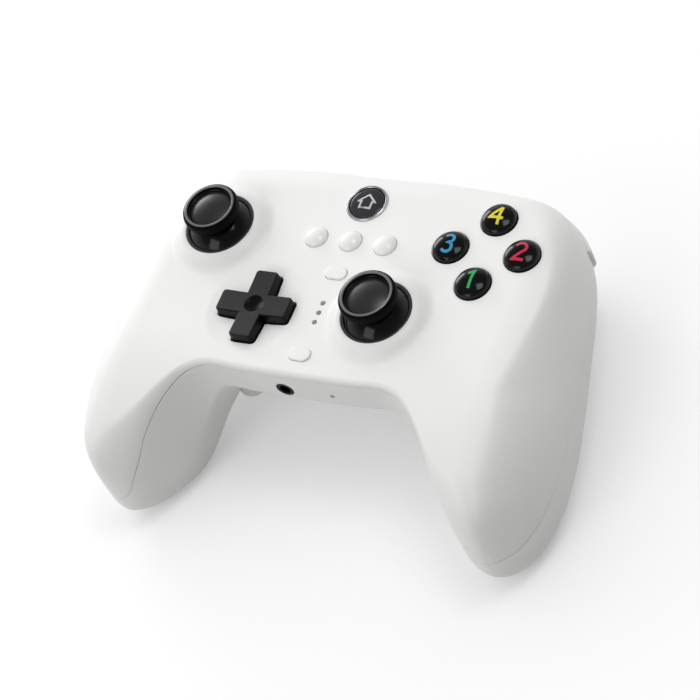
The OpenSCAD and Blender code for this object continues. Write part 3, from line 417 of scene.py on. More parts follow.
# Shell screws: place, height where the two posts meet, height of the head, and depth of the post's root
SCREW_PLACES = [((22, ROW_Y + 17.4), 30, 22, 1.1), ((60.5, ROW_Y - 60.6), 22, 9, 9.2)]
SCREW_POST_R = 3
SCREW_POST_GAP = 0.1
SCREW_PILOT_R = 1.3
BOARD_TOP = FACE_H - 10.5
BOARD_POSTS = [(22, ROW_Y + 8), (46, ROW_Y - 21)]
BOARD_POST_R = 2
BOARD_PILOT_R = 0.9
BOARD_PILOT_DEEP = 5
SKIN_HALF = 1.1
DRILL_REACH = 9

front = solid("front_moulding", *shell_skin(1))
under_skin = FACE_H - SKIN_HALF
ribs = [peg("rib", DOME_R + STICK_BOSS_WALL, FACE_H - STICK_BOSS_DEEP, under_skin, middle)
        for middle in STICKS.values()]
ribs.append(peg("rib", CROSS_BOSS_R, *CROSS_BOSS_Z, CROSS))
sleeve_r = FACE_BUTTON_R + CLEAR + SLEEVE_WALL
ribs += [peg("rib", sleeve_r, FACE_H - SLEEVE_DEEP, under_skin, middle) for middle in FACE_BUTTONS.values()]
for sign in (-1, 1):
    for (x, y), meet, _, below in SCREW_PLACES:
        ribs.append(peg("rib", SCREW_POST_R, meet + SCREW_POST_GAP, FACE_H - below, (sign * x, y), 32))
    for x, y in BOARD_POSTS:
        ribs.append(peg("rib", BOARD_POST_R, BOARD_TOP, under_skin, (sign * x, y), 32))
for rib in ribs:
    combine(front, rib, "UNION")

seat_z = RING_Z - RING_T - SEAT
seat_r = RING_OUT + SEAT
mouth_r = RING_OUT + MOUTH_OUT
room_r = DOME_R + CLEAR + SEAT
room_low = FACE_H - STICK_ROOM_DEEP
room = [(math.sqrt(room_r ** 2 - (z - PIVOT_Z) ** 2), z) for z in np.linspace(PIVOT_Z, seat_z, 12)]
stick_drill = (
    [(0, room_low), (room_r, room_low)] + room
    + [(seat_r, seat_z), (seat_r, MOUTH_Z[0]), (mouth_r, MOUTH_Z[1])]
    + [(mouth_r, FACE_H + DRILL_REACH), (0, FACE_H + DRILL_REACH)]
)
drills = [turned("drill", stick_drill, middle, 96) for middle in STICKS.values()]
for middle in FACE_BUTTONS.values():
    drills.append(turned("drill", flared(FACE_BUTTON_R + CLEAR), middle, 80))
drills.append(turned("drill", flared(HOME_R + SEAT, chamfer=0.15), HOME, 80))
for middle in MENU_ROW.values():
    drills.append(turned("drill", flared(MENU_R + SMALL_GAP, chamfer=SMALL_CHAMFER), middle, 96))
wide_gap = SMALL_GAP + SMALL_CHAMFER
pill_steps = [(SMALL_GAP, -DRILL_REACH), (SMALL_GAP, -SMALL_CHAMFER), (wide_gap, 0), (wide_gap, DRILL_REACH)]
for middle in PILLS.values():
    drills.append(solid("drill", *loft([
        oblong_ring(PILL_L + 2 * r, PILL_W + 2 * r, FACE_H + over, middle) for r, over in pill_steps])))
for y in LIGHTS_Y:
    drills.append(turned("drill", flared(LIGHT_R + LIGHT_GAP, chamfer=SMALL_CHAMFER), (0, y), 32))
drills.append(solid("drill", *loft([
    plus_ring(CROSS_HALF_SPAN + CROSS_GAP, CROSS_HALF_BASE + CROSS_GAP, z, CROSS_CORNER + CROSS_GAP)
    for z in (FACE_H - DRILL_REACH, FACE_H + DRILL_REACH)])))
for sign in (-1, 1):
    for (x, y), meet, _, _ in SCREW_PLACES:
        drills.append(peg("drill", SCREW_PILOT_R, meet - 1, meet + DRILL_REACH, (sign * x, y), 24))
    for x, y in BOARD_POSTS:
        pilot_top = BOARD_TOP + BOARD_PILOT_DEEP
        drills.append(peg("drill", BOARD_PILOT_R, BOARD_TOP - 1, pilot_top, (sign * x, y), 24))
for drill in drills:
    combine(front, drill, "DIFFERENCE")


def linear(hex_colour):
    """An sRGB hex colour as the linear colour that shaders take."""
    parts = [int(hex_colour[i:i + 2], 16) / 255 for i in (1, 3, 5)]
    return [c / 12.92 if c <= 0.04045 else ((c + 0.055) / 1.055) ** 2.4 for c in parts] + [1]


def add(tree, kind, settings, links=()):
    """Adds one node to a tree, sets its sockets and properties, and links (socket, source) pairs."""
    node = tree.nodes.new(kind)
    for key, value in settings.items():
        if isinstance(key, int) or key in node.inputs:
            node.inputs[key].default_value = value
        else:
            setattr(node, key, value)
    for key, source in links:
        tree.links.new(source, node.inputs[key])
    return node


def moulded(name, colour, tint, rough, grain_mm, bump_mm, ior=1.54, shine=0.5, drift_mm=14):
    """Moulded plastic: a tint that drifts over centimetres, and a tool grain that breaks up the gloss."""
    material = bpy.data.materials.new(name)
    material.use_nodes = True
    tree = material.node_tree
    shader = tree.nodes["Principled BSDF"]
    shader.inputs["IOR"].default_value = ior
    shader.inputs["Specular IOR Level"].default_value = shine
    place = add(tree, "ShaderNodeTexCoord", {})
    drift = add(tree, "ShaderNodeTexNoise", {"Scale": 1 / (drift_mm * MM), "Detail": 2},
                [("Vector", place.outputs["Object"])])
    grain = add(tree, "ShaderNodeTexNoise", {"Scale": 1 / (grain_mm * MM), "Detail": 3},
                [("Vector", place.outputs["Object"])])
    paint = add(tree, "ShaderNodeMix", {"data_type": "RGBA", 6: linear(colour), 7: linear(tint)},
                [(0, drift.outputs["Fac"])])
    gloss = add(tree, "ShaderNodeMapRange", {"To Min": rough[0], "To Max": rough[1]},
                [("Value", grain.outputs["Fac"])])
    relief = add(tree, "ShaderNodeBump", {"Strength": 1, "Distance": bump_mm * MM},
                 [("Height", grain.outputs["Fac"])])
    ends = (("Base Color", paint.outputs[2]), ("Roughness", gloss.outputs["Result"]),
            ("Normal", relief.outputs["Normal"]))
    for socket, source in ends:
        tree.links.new(source, shader.inputs[socket])
    return material


def finish(piece, materials, body, nodes, sharp=30):
    """Smooth shading with crisp edges, the finish, and the piece's place in the assembly."""
    for polygon in piece.data.polygons:
        polygon.use_smooth = True
    piece.data.set_sharp_from_angle(angle=math.radians(sharp))
    if materials:
        piece.data.materials.clear()
    for material in materials:
        piece.data.materials.append(material)
    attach(piece, body)
    if nodes:
        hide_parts(*nodes)


# White ABS with a fine spark-eroded grain: a soft broad highlight and no mirror images
white_abs = moulded("white_abs_satin", "#f0f0ee", "#ececea", (0.36, 0.46), 0.5, 0.004)
finish(front, [white_abs], "housing", ["front_shell"])

# Rear shell
# The back is the second white ABS moulding. It forms the grips and the lower wall, has pockets for the
# bumpers and paddles and slots for the triggers, and carries the motors and the posts for the screws.
BUMPER_FROM = 1.8
BUMPER_TO = 4.6
BUMPER_OUT = 1.2
BUMPER_DEEP = 6.5
BUMPER_TALL = (11, 8)
BUMPER_DROP = 0.6
BUMPER_PRESS = 1.4
POCKET_RISE = 3
POCKET_OUT = 8
POCKET_STEPS = np.linspace(BUMPER_FROM - 0.045, BUMPER_TO + 0.085, 48)
TRIGGER_X = 31
TRIGGER_W = 20
TRIGGER_PIVOT = np.array((ROW_Y + 12.3, 27))
DRUM_R = 9.3
HOOK_TOP = 22.3
PIN_R = 1.5
PIN_REACH = 5
LUG_T = 1.4
LUG_Y = (TRIGGER_PIVOT[0] - 4, TRIGGER_PIVOT[0] + 3.5)
LUG_Z = (17.8, 30.2)
SLOT_GAP = 0.1
SLOT_TOP = HOOK_TOP + 0.5
SLOT_END = TRIGGER_PIVOT[0] + 30
PADDLE_X = 33.5
PADDLE_W = 9
PADDLE_L = 19
PADDLE_TOP_Y = ROW_Y - 16
PADDLE_LOW = 13
PADDLE_T = 6.6
PADDLE_ROOM = 2.5
JACK_X = -5
JACK_Z = FACE_H - 8.3
JACK_COLLAR_R = 2.7
LIGHT_X = 10.1
LOW_EDGE = ROW_Y - 46.5
TOP_EDGE = ROW_Y + 26.5
BOARD_T = 1.6
BOARD_BOTTOM = BOARD_TOP - BOARD_T
USB_W = 8.94
USB_H = 3.26
USB_Z = BOARD_BOTTOM - SEAT - USB_H / 2
MOTOR_X = 57
MOTOR_Y = ROW_Y - 43.6
MOTOR_Z = 20
MOTOR_R = 6
MOTOR_L = 16
CRADLE_Y = (MOTOR_Y + 3, MOTOR_Y + MOTOR_L - 5)
CRADLE_HALF = 5
CRADLE_T = 2
CRADLE_TOP = MOTOR_Z - 2
REAR_POST_R = 4.2
HEAD_HOLE_R = 2.7
HEAD_HOLE_DEEP = 30
SHANK_HOLE_R = 1.4
CUT_REACH = 5


def swap_axes(points, order):
    """Points of a form built along Z, laid along another axis."""
    return np.asarray(points)[:, order]


def lying_bar(name, r, start, length, x, z, count=32):
    """A round bar along Y."""
    points, faces = loft([circle(r, start, (x, z), count), circle(r, start + length, (x, z), count)])
    return solid(name, swap_axes(points, [0, 2, 1]), faces)


def cross_bar(name, r, start, length, y, z, count=64):
    """A round bar along X."""
    points, faces = loft([circle(r, start, (y, z), count), circle(r, start + length, (y, z), count)])
    return solid(name, swap_axes(points, [2, 0, 1]), faces)


def band_line(u, rows):
    """Points beside the top edge at u, from (distance out, height) pairs."""
    ahead, behind = (section_at(u + shift)[2:4] for shift in (0.05, -0.05))
    way = (ahead - behind) / np.linalg.norm(ahead - behind)
    out = np.array((-way[1], way[0]))
    edge = section_at(u)[2:4]
    return np.array([(*(edge + out * reach), z) for reach, z in rows])


def bumper_levels(u):
    """Top and bottom of a bumper at u."""
    top = FACE_H - section_at(u)[5] - BUMPER_DROP
    return top, top - BUMPER_TALL[0] - (BUMPER_TALL[1] - BUMPER_TALL[0]) * ease(BUMPER_FROM, BUMPER_TO, u)


def pocket_ring(u):
    """Outline of a bumper's pocket at u."""
    top, low = bumper_levels(u)
    back = -BUMPER_DEEP - BUMPER_PRESS
    high = top + POCKET_RISE
    deep = low - CLEAR
    return band_line(u, [(back, high), (POCKET_OUT, high), (POCKET_OUT, deep), (back, deep)])


rear = solid("rear_moulding", *shell_skin(-1))
ribs = []
cuts = []
for sign in (-1, 1):
    for (x, y), meet, head, _ in SCREW_PLACES:
        floor_z = back_height(np.array([[x, y]]))[0] + SKIN_HALF
        ribs.append(peg("rib", REAR_POST_R, floor_z, meet, (sign * x, y), 32))
        mouth = head - HEAD_HOLE_DEEP
        screw_hole = [(0, mouth), (HEAD_HOLE_R, mouth), (HEAD_HOLE_R, head), (SHANK_HOLE_R, head),
                      (SHANK_HOLE_R, meet + 1), (0, meet + 1)]
        cuts.append(turned("cut", screw_hole, (sign * x, y), 32))
    for x in (TRIGGER_X - CLEAR - LUG_T, TRIGGER_X + TRIGGER_W + CLEAR):
        low, high = sorted((sign * x, sign * (x + LUG_T)))
        ribs.append(block("rib", (low, LUG_Y[0], LUG_Z[0]), (high, LUG_Y[1], LUG_Z[1])))
    motor_x = sign * MOTOR_X
    for y in CRADLE_Y:
        floor_z = back_height(np.array([[MOTOR_X, y]]))[0] + SKIN_HALF
        near = (motor_x - CRADLE_HALF, y, floor_z)
        far = (motor_x + CRADLE_HALF, y + CRADLE_T, CRADLE_TOP)
        cradle = block("rib", near, far)
        motor_bed = lying_bar("cut", MOTOR_R + SEAT, y - 1, CRADLE_T + 2, motor_x, MOTOR_Z)
        combine(cradle, motor_bed, "DIFFERENCE")
        ribs.append(cradle)
    cuts.append(solid("cut", *loft([pocket_ring(u) * (sign, 1, 1) for u in POCKET_STEPS])))
    slot_from, slot_to = sorted((sign * (TRIGGER_X - CLEAR), sign * (TRIGGER_X + TRIGGER_W + CLEAR)))
    cuts.append(cross_bar("cut", DRUM_R + CLEAR + SLOT_GAP, slot_from, slot_to - slot_from, *TRIGGER_PIVOT))
    cuts.append(block("cut", (slot_from, TRIGGER_PIVOT[0], -CUT_REACH), (slot_to, SLOT_END, SLOT_TOP)))
    pin_from = min(sign * (TRIGGER_X - PIN_REACH), sign * (TRIGGER_X + TRIGGER_W + PIN_REACH))
    cuts.append(cross_bar("cut", PIN_R + SEAT, pin_from, TRIGGER_W + 2 * PIN_REACH, *TRIGGER_PIVOT, 32))
    paddle_middle = (sign * PADDLE_X, PADDLE_TOP_Y - PADDLE_L / 2)
    cuts.append(solid("cut", *loft([
        oblong_ring(PADDLE_L + 3 * CLEAR, PADDLE_W + 3 * CLEAR, z, paddle_middle, True)
        for z in (PADDLE_LOW - 2 * CUT_REACH, PADDLE_LOW + PADDLE_T + PADDLE_ROOM)])))
for r, x, count in ((JACK_COLLAR_R + SEAT, JACK_X, 48), (LIGHT_R + LIGHT_GAP, LIGHT_X, 24)):
    cuts.append(lying_bar("cut", r, LOW_EDGE - CUT_REACH, WALL + CUT_REACH + 3, x, JACK_Z, count))
usb_points, usb_faces = loft([
    oblong_ring(USB_W + 2 * SEAT, USB_H + 2 * SEAT, y, (0, USB_Z))
    for y in (TOP_EDGE - WALL - 1, TOP_EDGE + CUT_REACH)])
cuts.append(solid("cut", swap_axes(usb_points, [0, 2, 1]), usb_faces))
for rib in ribs:
    combine(rear, rib, "UNION")
for cut in cuts:
    combine(rear, cut, "DIFFERENCE")
finish(rear, [white_abs], "housing", ["rear_shell"])

# Shell screws and board screws
# Cross-recessed screws in zinc-plated steel hold the shells together from the back, and smaller ones hold
# the board to the posts under the face. One node tree builds a screw and sets it at every place.
SHELL_SCREW = {"Head Radius": 2.4, "Head Height": 2, "Shank Radius": 1.2, "Shank Length": 15}
BOARD_SCREW = {"Head Radius": 1.8, "Head Height": 1, "Shank Radius": 0.8, "Shank Length": 6.1}
# The recess, as shares of the head's radius and height
SLOT_LENGTH = 1.25
SLOT_WIDTH = 0.3
SLOT_SINK = -0.6


def metal(name, colour, tint, rough, grain_mm):
    """Bare metal: a slightly uneven tone and a fine grain in the gloss."""
    material = bpy.data.materials.new(name)
    material.use_nodes = True
    tree = material.node_tree
    shader = tree.nodes["Principled BSDF"]
    shader.inputs["Metallic"].default_value = 1
    place = add(tree, "ShaderNodeTexCoord", {})
    grain = add(tree, "ShaderNodeTexNoise", {"Scale": 1 / (grain_mm * MM), "Detail": 4},
                [("Vector", place.outputs["Object"])])
    paint = add(tree, "ShaderNodeMix", {"data_type": "RGBA", 6: linear(colour), 7: linear(tint)},
                [(0, grain.outputs["Fac"])])
    gloss = add(tree, "ShaderNodeMapRange", {"To Min": rough[0], "To Max": rough[1]},
                [("Value", grain.outputs["Fac"])])
    for socket, source in (("Base Color", paint.outputs[2]), ("Roughness", gloss.outputs["Result"])):
        tree.links.new(source, shader.inputs[socket])
    return material


def open_tree(name, sizes):
    """A geometry node tree with a named input for each size, and the sockets that give them."""
    tree = bpy.data.node_groups.new(name, "GeometryNodeTree")
    tree.interface.new_socket("Geometry", in_out="INPUT", socket_type="NodeSocketGeometry")
    for label in sizes:
        tree.interface.new_socket(label, in_out="INPUT", socket_type="NodeSocketFloat")
    tree.interface.new_socket("Geometry", in_out="OUTPUT", socket_type="NodeSocketGeometry")
    return tree, add(tree, "NodeGroupInput", {}).outputs


def close_tree(tree, given, shapes, material):
    """Sets the joined shapes at every vertex of the mesh the tree is put on, and gives them their finish."""
    whole = add(tree, "GeometryNodeJoinGeometry", {}, [("Geometry", shape) for shape in shapes])
    points = add(tree, "GeometryNodeMeshToPoints", {}, [("Mesh", given["Geometry"])])
    placed = add(tree, "GeometryNodeInstanceOnPoints", {},
                 [("Points", points.outputs["Points"]), ("Instance", whole.outputs["Geometry"])])
    real = add(tree, "GeometryNodeRealizeInstances", {}, [("Geometry", placed.outputs["Instances"])])
    done = add(tree, "GeometryNodeSetMaterial", {"Material": material},
               [("Geometry", real.outputs["Geometry"])])
    add(tree, "NodeGroupOutput", {}, [("Geometry", done.outputs["Geometry"])])
    return tree


def screw_tree(material):
    """A cross-recessed screw, head down."""
    tree, given = open_tree("cross_recessed_screws", SHELL_SCREW)
    head = add(tree, "GeometryNodeMeshCylinder", {"Vertices": 40},
               [("Radius", given["Head Radius"]), ("Depth", given["Head Height"])])
    shares = ((SLOT_LENGTH, "Head Radius"), (SLOT_WIDTH, "Head Radius"), (SLOT_SINK, "Head Height"))
    length, width, sink = [
        add(tree, "ShaderNodeMath", {"operation": "MULTIPLY", 1: share}, [(0, given[label])])
        for share, label in shares]
    sunk = add(tree, "ShaderNodeCombineXYZ", {}, [("Z", sink.outputs[0])])
    recessed = head.outputs["Mesh"]
    for along, across in ("XY", "YX"):
        size = add(tree, "ShaderNodeCombineXYZ", {}, [
            (along, length.outputs[0]), (across, width.outputs[0]), ("Z", given["Head Height"])])
        slot = add(tree, "GeometryNodeMeshCube", {}, [("Size", size.outputs[0])])
        tool = add(tree, "GeometryNodeTransform", {},
                   [("Geometry", slot.outputs["Mesh"]), ("Translation", sunk.outputs[0])])
        cut = add(tree, "GeometryNodeMeshBoolean", {"operation": "DIFFERENCE"},
                  [(0, recessed), (1, tool.outputs["Geometry"])])
        recessed = cut.outputs["Mesh"]
    shank = add(tree, "GeometryNodeMeshCylinder", {"Vertices": 24},
                [("Radius", given["Shank Radius"]), ("Depth", given["Shank Length"])])
    both = add(tree, "ShaderNodeMath", {"operation": "ADD"},
               [(0, given["Head Height"]), (1, given["Shank Length"])])
    half = add(tree, "ShaderNodeMath", {"operation": "MULTIPLY", 1: 0.5}, [(0, both.outputs[0])])
    height = add(tree, "ShaderNodeCombineXYZ", {}, [("Z", half.outputs[0])])
    raised = add(tree, "GeometryNodeTransform", {},
                 [("Geometry", shank.outputs["Mesh"]), ("Translation", height.outputs[0])])
    return close_tree(tree, given, [recessed, raised.outputs["Geometry"]], material)


def set_out(name, places, tree, sizes):
    """A plain mesh of what a node tree sets at each place, all in millimetres."""
    mesh = bpy.data.meshes.new(name)
    mesh.from_pydata([tuple(c * MM for c in place) for place in places], [], [])
    piece = bpy.data.objects.new(name, mesh)
    bpy.context.scene.collection.objects.link(piece)
    step = piece.modifiers.new("places", "NODES")
    step.node_group = tree
    for item in tree.interface.items_tree:
        if item.in_out == "INPUT" and item.name in sizes:
            step[item.identifier] = sizes[item.name] * MM
    plain_mesh(piece)
    return piece


# Zinc-plated steel: cool grey with a dull shine
zinc_steel = metal("zinc_plated_steel", "#b4b7bb", "#9c9fa4", (0.28, 0.42), 0.4)
screws = screw_tree(zinc_steel)
shell_head = SHELL_SCREW["Head Height"]
shell_places = [(sign * x, y, z - shell_head / 2) for sign in (-1, 1) for (x, y), _, z, _ in SCREW_PLACES]
shell_screws = set_out("shell_screw_set", shell_places, screws, SHELL_SCREW)
finish(shell_screws, [], "housing", ["shell_screws"])
board_z = BOARD_BOTTOM - BOARD_SCREW["Head Height"] / 2
board_places = [(sign * x, y, board_z) for sign in (-1, 1) for x, y in BOARD_POSTS]
board_screws = set_out("board_screw_set", board_places, screws, BOARD_SCREW)
finish(board_screws, [], "housing", ["board_screws"])

# Status lights
# Three clear polycarbonate light pipes end as small grey dots in the face. They stand on the board and are
# alike, so one node tree builds a pipe with its crown and sets it at every place.
CROWN_FLAT = 0.12
LIGHT_SINK = 0.1

# Milky polycarbonate: grey when unlit, with a clean small highlight
light_pipe = moulded("milky_polycarbonate", "#8d9096", "#82858b", (0.15, 0.25), 0.6, 0.001, ior=1.58)


def light_tree(material):
    """A round light pipe with a soft crown."""
    tree, given = open_tree("light_pipes", ("Radius", "Length"))
    pipe = add(tree, "GeometryNodeMeshCylinder", {"Vertices": 32},
               [("Radius", given["Radius"]), ("Depth", given["Length"])])
    crown = add(tree, "GeometryNodeMeshUVSphere", {}, [("Radius", given["Radius"])])
    half = add(tree, "ShaderNodeMath", {"operation": "MULTIPLY", 1: 0.5}, [(0, given["Length"])])
    height = add(tree, "ShaderNodeCombineXYZ", {}, [("Z", half.outputs[0])])
    flat = add(tree, "GeometryNodeTransform", {"Scale": (1, 1, CROWN_FLAT)},
               [("Geometry", crown.outputs["Mesh"]), ("Translation", height.outputs[0])])
    return close_tree(tree, given, [pipe.outputs["Mesh"], flat.outputs["Geometry"]], material)


pipe_low = BOARD_TOP + SEAT
pipe_high = FACE_H - LIGHT_SINK
light_places = [(0, y, (pipe_low + pipe_high) / 2) for y in LIGHTS_Y]
status_lights = set_out("status_light_pipes", light_places, light_tree(light_pipe), {
    "Radius": LIGHT_R, "Length": pipe_high - pipe_low})
finish(status_lights, [], "housing", ["status_lights"])

# Thumb sticks
# Each black cap has a rim with a grey painted highlight along its crest and a groove round a crowned rubber
# pad, on a stem over a round glossy skirt. The skirt turns in a dark acetal slip ring that is pressed into
# the collar to keep dust out.
CAP_R = 8.4
CAP_TOP = 8.7
CAP_EDGE = 0.8
STICK_TILT = 18
STICK_CLICK = 0.5
NECK_R = 4.6
STEM_R = 2
SKIRT_T = 1.3
SKIRT_SPAN = 82
RIM_LINE_R = 7.2
RIM_R = 0.4
RIM_DROP = 1.5
PAD_R = 6.1
PAD_SINK = 0.1
GROOVE_SINK = 1.3
GROOVE_R = 0.3
GROOVE_LIFT = 0.25
# How far below the top of the cap the grey painted highlight on the rim's crest reaches
RIM_HIGHLIGHT_DEPTH = 0.22
FLANK_SINK = 0.1
SHOULDER = 0.25
PAD_SKIN = 1.5
BORE_DEEP = 2.5
BORE_GAP = 0.02
# The slip ring's rounded edges: how far in from the edge, and how far below the top
RING_EDGES = [(0, 0.12), (0.12, 0.03), (0.3, 0)]

# Dark acetal: charcoal with a waxy sheen that catches the light on the ring's round top
dark_acetal = moulded("dark_acetal", "#2c2d2e", "#343536", (0.2, 0.28), 0.6, 0.002, shine=0.8)
# Polished black ABS on the skirt: near black, with clear window highlights
black_gloss = moulded(
    "black_abs_polished", "#0b0b0c", "#101012", (0.1, 0.16), 0.8, 0.0006, shine=0.2, drift_mm=9)
# Soft-touch rubber on the pad: charcoal, grained and satin
thumb_rubber = moulded("black_thumb_rubber", "#101011", "#161617", (0.28, 0.36), 0.4, 0.005, shine=0.9)
# The same rubber left matt on the flank under the rim: deep black
flank_rubber = moulded("black_cap_rubber", "#040404", "#070707", (0.5, 0.6), 0.4, 0.004, shine=0.04)
# Painted highlight: the crest of the rim coloured soft grey, standing in for the light it catches
rim_highlight_paint = moulded("painted_rim_highlight", "#646567", "#6d6e70", (0.2, 0.3), 0.5, 0.001, shine=0.8)


def arc(r, start, end, count):
    """(radius, height) pairs on a circle round the pivot, by degrees up from level."""
    return [(r * math.cos(a), r * math.sin(a)) for a in np.radians(np.linspace(start, end, count))]


def arc_about(middle, r, start, end, count=6):
    """Pairs on an arc about any middle, by degrees."""
    return [(middle[0] + x, middle[1] + z) for x, z in arc(r, start, end, count)]


def hoop(name, profile, middle, count):
    """A ring turned through a closed run of (radius, height) pairs."""
    rings = [circle(r, z, middle, count) for r, z in profile]
    faces = loft(rings + rings[:1])[1][:-2]
    total = len(rings) * count
    return solid(name, np.vstack(rings), [[corner % total for corner in face] for face in faces])


corner_tilt = math.acos(math.cos(math.radians(STICK_TILT)) ** 2)


def under_z(r):
    """Height of the cap's underside: a cone that clears the collar at the corner of the stick's travel."""
    return (RING_Z - PIVOT_Z + CLEAR) / math.cos(corner_tilt) + r * math.tan(corner_tilt) + STICK_CLICK


cap_z = RING_Z + CAP_TOP - PIVOT_Z
edge_r = CAP_R - CAP_EDGE * (1 - math.sin(corner_tilt))
edge_z = under_z(edge_r) + CAP_EDGE * math.cos(corner_tilt)
skirt_low = 90 - SKIRT_SPAN
inner_r = DOME_R - SKIRT_T
bore_r = STEM_R + BORE_GAP
shoulder_r = RIM_LINE_R + SHOULDER
pad_crown = GROOVE_SINK - PAD_SINK
pad_line = [(PAD_R * k, cap_z - PAD_SINK - pad_crown * k ** 2) for k in np.linspace(1, 0, 20)]
flank_h = RIM_DROP - FLANK_SINK
flank = [(shoulder_r + (CAP_R - shoulder_r) * math.cos(a), cap_z - RIM_DROP + flank_h * math.sin(a))
         for a in np.radians(np.linspace(0, 80, 12))]
cap_profile = (
    [(0, cap_z - BORE_DEEP), (bore_r, cap_z - BORE_DEEP)]
    + arc(inner_r, math.degrees(math.acos(bore_r / inner_r)), skirt_low, 24)
    + arc(DOME_R, skirt_low, math.degrees(math.acos(NECK_R / DOME_R)), 32)
    + [(NECK_R, under_z(NECK_R))]
    + arc_about((CAP_R - CAP_EDGE, edge_z), CAP_EDGE, math.degrees(corner_tilt) - 90, 0)
    + flank
    + arc_about((RIM_LINE_R, cap_z - RIM_R), RIM_R, 60, 180, 12)
    + arc_about((PAD_R + GROOVE_R, cap_z - GROOVE_SINK + GROOVE_LIFT), GROOVE_R, 0, -90)
    + pad_line
)
cap_finishes = [black_gloss, thumb_rubber, flank_rubber, rim_highlight_paint]
slip = [(RING_IN_LOW, RING_Z - RING_T), (RING_OUT, RING_Z - RING_T)]
slip += [(RING_OUT - inward, RING_Z - drop) for inward, drop in RING_EDGES]
slip += [(RING_IN_TOP + inward, RING_Z - drop) for inward, drop in reversed(RING_EDGES)]
for side, middle in STICKS.items():
    ring_piece = hoop(side + "_slip_ring", slip, middle, 128)
    finish(ring_piece, [dark_acetal], "housing", [side + "_stick_ring"])
    cap = turned(side + "_thumb_cap", [(r, PIVOT_Z + z) for r, z in cap_profile], middle, 128)
    finish(cap, cap_finishes, side + "_cap", [side + "_stick_cap"], 40)
    for polygon in cap.data.polygons:
        reach = (polygon.center.xy / MM - Vector(middle)).length
        over_pivot = polygon.center.z / MM - PIVOT_Z
        if reach < PAD_R and over_pivot > cap_z - PAD_SKIN:
            polygon.material_index = 1
        # The crest of the rim takes the grey painted highlight
        elif abs(reach - RIM_LINE_R) < RIM_R and over_pivot > cap_z - RIM_HIGHLIGHT_DEPTH:
            polygon.material_index = 3
        elif reach > shoulder_r and over_pivot > under_z(NECK_R):
            polygon.material_index = 2

# Face buttons
# Four domed buttons in polished black ABS, each with a coloured numeral under a clear lacquer. A flange
# under the face keeps each one in its sleeve, and its stem rests on a silicone dome.
FACE_BUTTON_TOP = 2.7
BUTTON_DOME = 1.6
FLANGE_OUT = 0.5
FLANGE_T = 1
FLANGE_TOP = FACE_H - SLEEVE_DEEP - 0.4
SILICONE_RISE = 2.4
FACE_TRAVEL = 1.4
STEM_LOW = BOARD_TOP + SEAT + SILICONE_RISE + FACE_TRAVEL + CLEAR
BUTTON_STEM_R = 1.6
BUTTON_EDGE = 0.5
EDGE_LEAN = 1.2
EDGE_SWELL = 0.7
NUMERAL_LINE = 0.85
INK_LIFT = 0.04
STROKE_PITCH = 0.3


def dome_radius(r, dome):
    """Radius of the ball that a shallow dome is cut from."""
    return (r * r + dome * dome) / (2 * dome)


def on_dome(x, top, ball):
    """Height of a dome at a distance from its middle."""
    return top - ball + math.sqrt(ball * ball - x * x)


def button_profile(r, top, dome, edge, flange_top):
    """Stem, flange, wall, rounded edge and dome of a push button."""
    ball = dome_radius(r, dome)
    low = flange_top - FLANGE_T
    wall_top = top - dome - edge
    profile = [(0, STEM_LOW), (BUTTON_STEM_R, STEM_LOW), (BUTTON_STEM_R, low), (r + FLANGE_OUT, low),
               (r + FLANGE_OUT, flange_top), (r, flange_top), (r, wall_top)]
    for a in np.linspace(0.15, 1, 6):
        x = r - edge * EDGE_LEAN * a * a
        profile.append((x, wall_top + (on_dome(x, top, ball) - wall_top) * a ** EDGE_SWELL))
    last = profile[-1][0]
    profile += [(last * k, on_dome(last * k, top, ball)) for k in np.linspace(0.93, 0, 15)]
    return profile


def stroke_arc(middle, r, start, end):
    """Points of a round stroke, by degrees."""
    count = max(4, int(abs(end - start) / 8))
    return arc_about(middle, r, start, end, count)


def ribbon(name, path, width, middle, top, ball):
    """A printed line along a path, bent over a button's dome and closed all round."""
    corners = np.array(path, float)
    points = [corners[0]]
    for a, b in zip(corners, corners[1:]):
        count = max(1, math.ceil(np.linalg.norm(b - a) / STROKE_PITCH))
        points += [a + (b - a) * k / count for k in range(1, count + 1)]
    points = np.array(points)
    ways = np.diff(points, axis=0)
    ways /= np.linalg.norm(ways, axis=1)[:, None]
    rings = []
    for i, point in enumerate(points):
        before, after = ways[max(0, i - 1)], ways[min(i, len(ways) - 1)]
        way = (before + after) / np.linalg.norm(before + after)
        across = np.array((-way[1], way[0]))
        reach = width / 2 / max(0.5, way @ after)
        sides = [point + across * reach, point - across * reach]
        heights = [on_dome(np.linalg.norm(side), top, ball) for side in sides]
        rings.append(np.array([
            (*(sides[k] + middle), heights[k] + lift)
            for k, lift in ((0, INK_LIFT), (1, INK_LIFT), (1, -INK_LIFT), (0, -INK_LIFT))]))
    return solid(name, *loft(rings))


def joined(name, pieces):
    """Several closed strokes as one piece."""
    work = bmesh.new()
    for piece in pieces:
        work.from_mesh(piece.data)
        bpy.data.objects.remove(piece)
    mesh = bpy.data.meshes.new(name)
    work.to_mesh(mesh)
    work.free()
    piece = bpy.data.objects.new(name, mesh)
    bpy.context.scene.collection.objects.link(piece)
    return piece


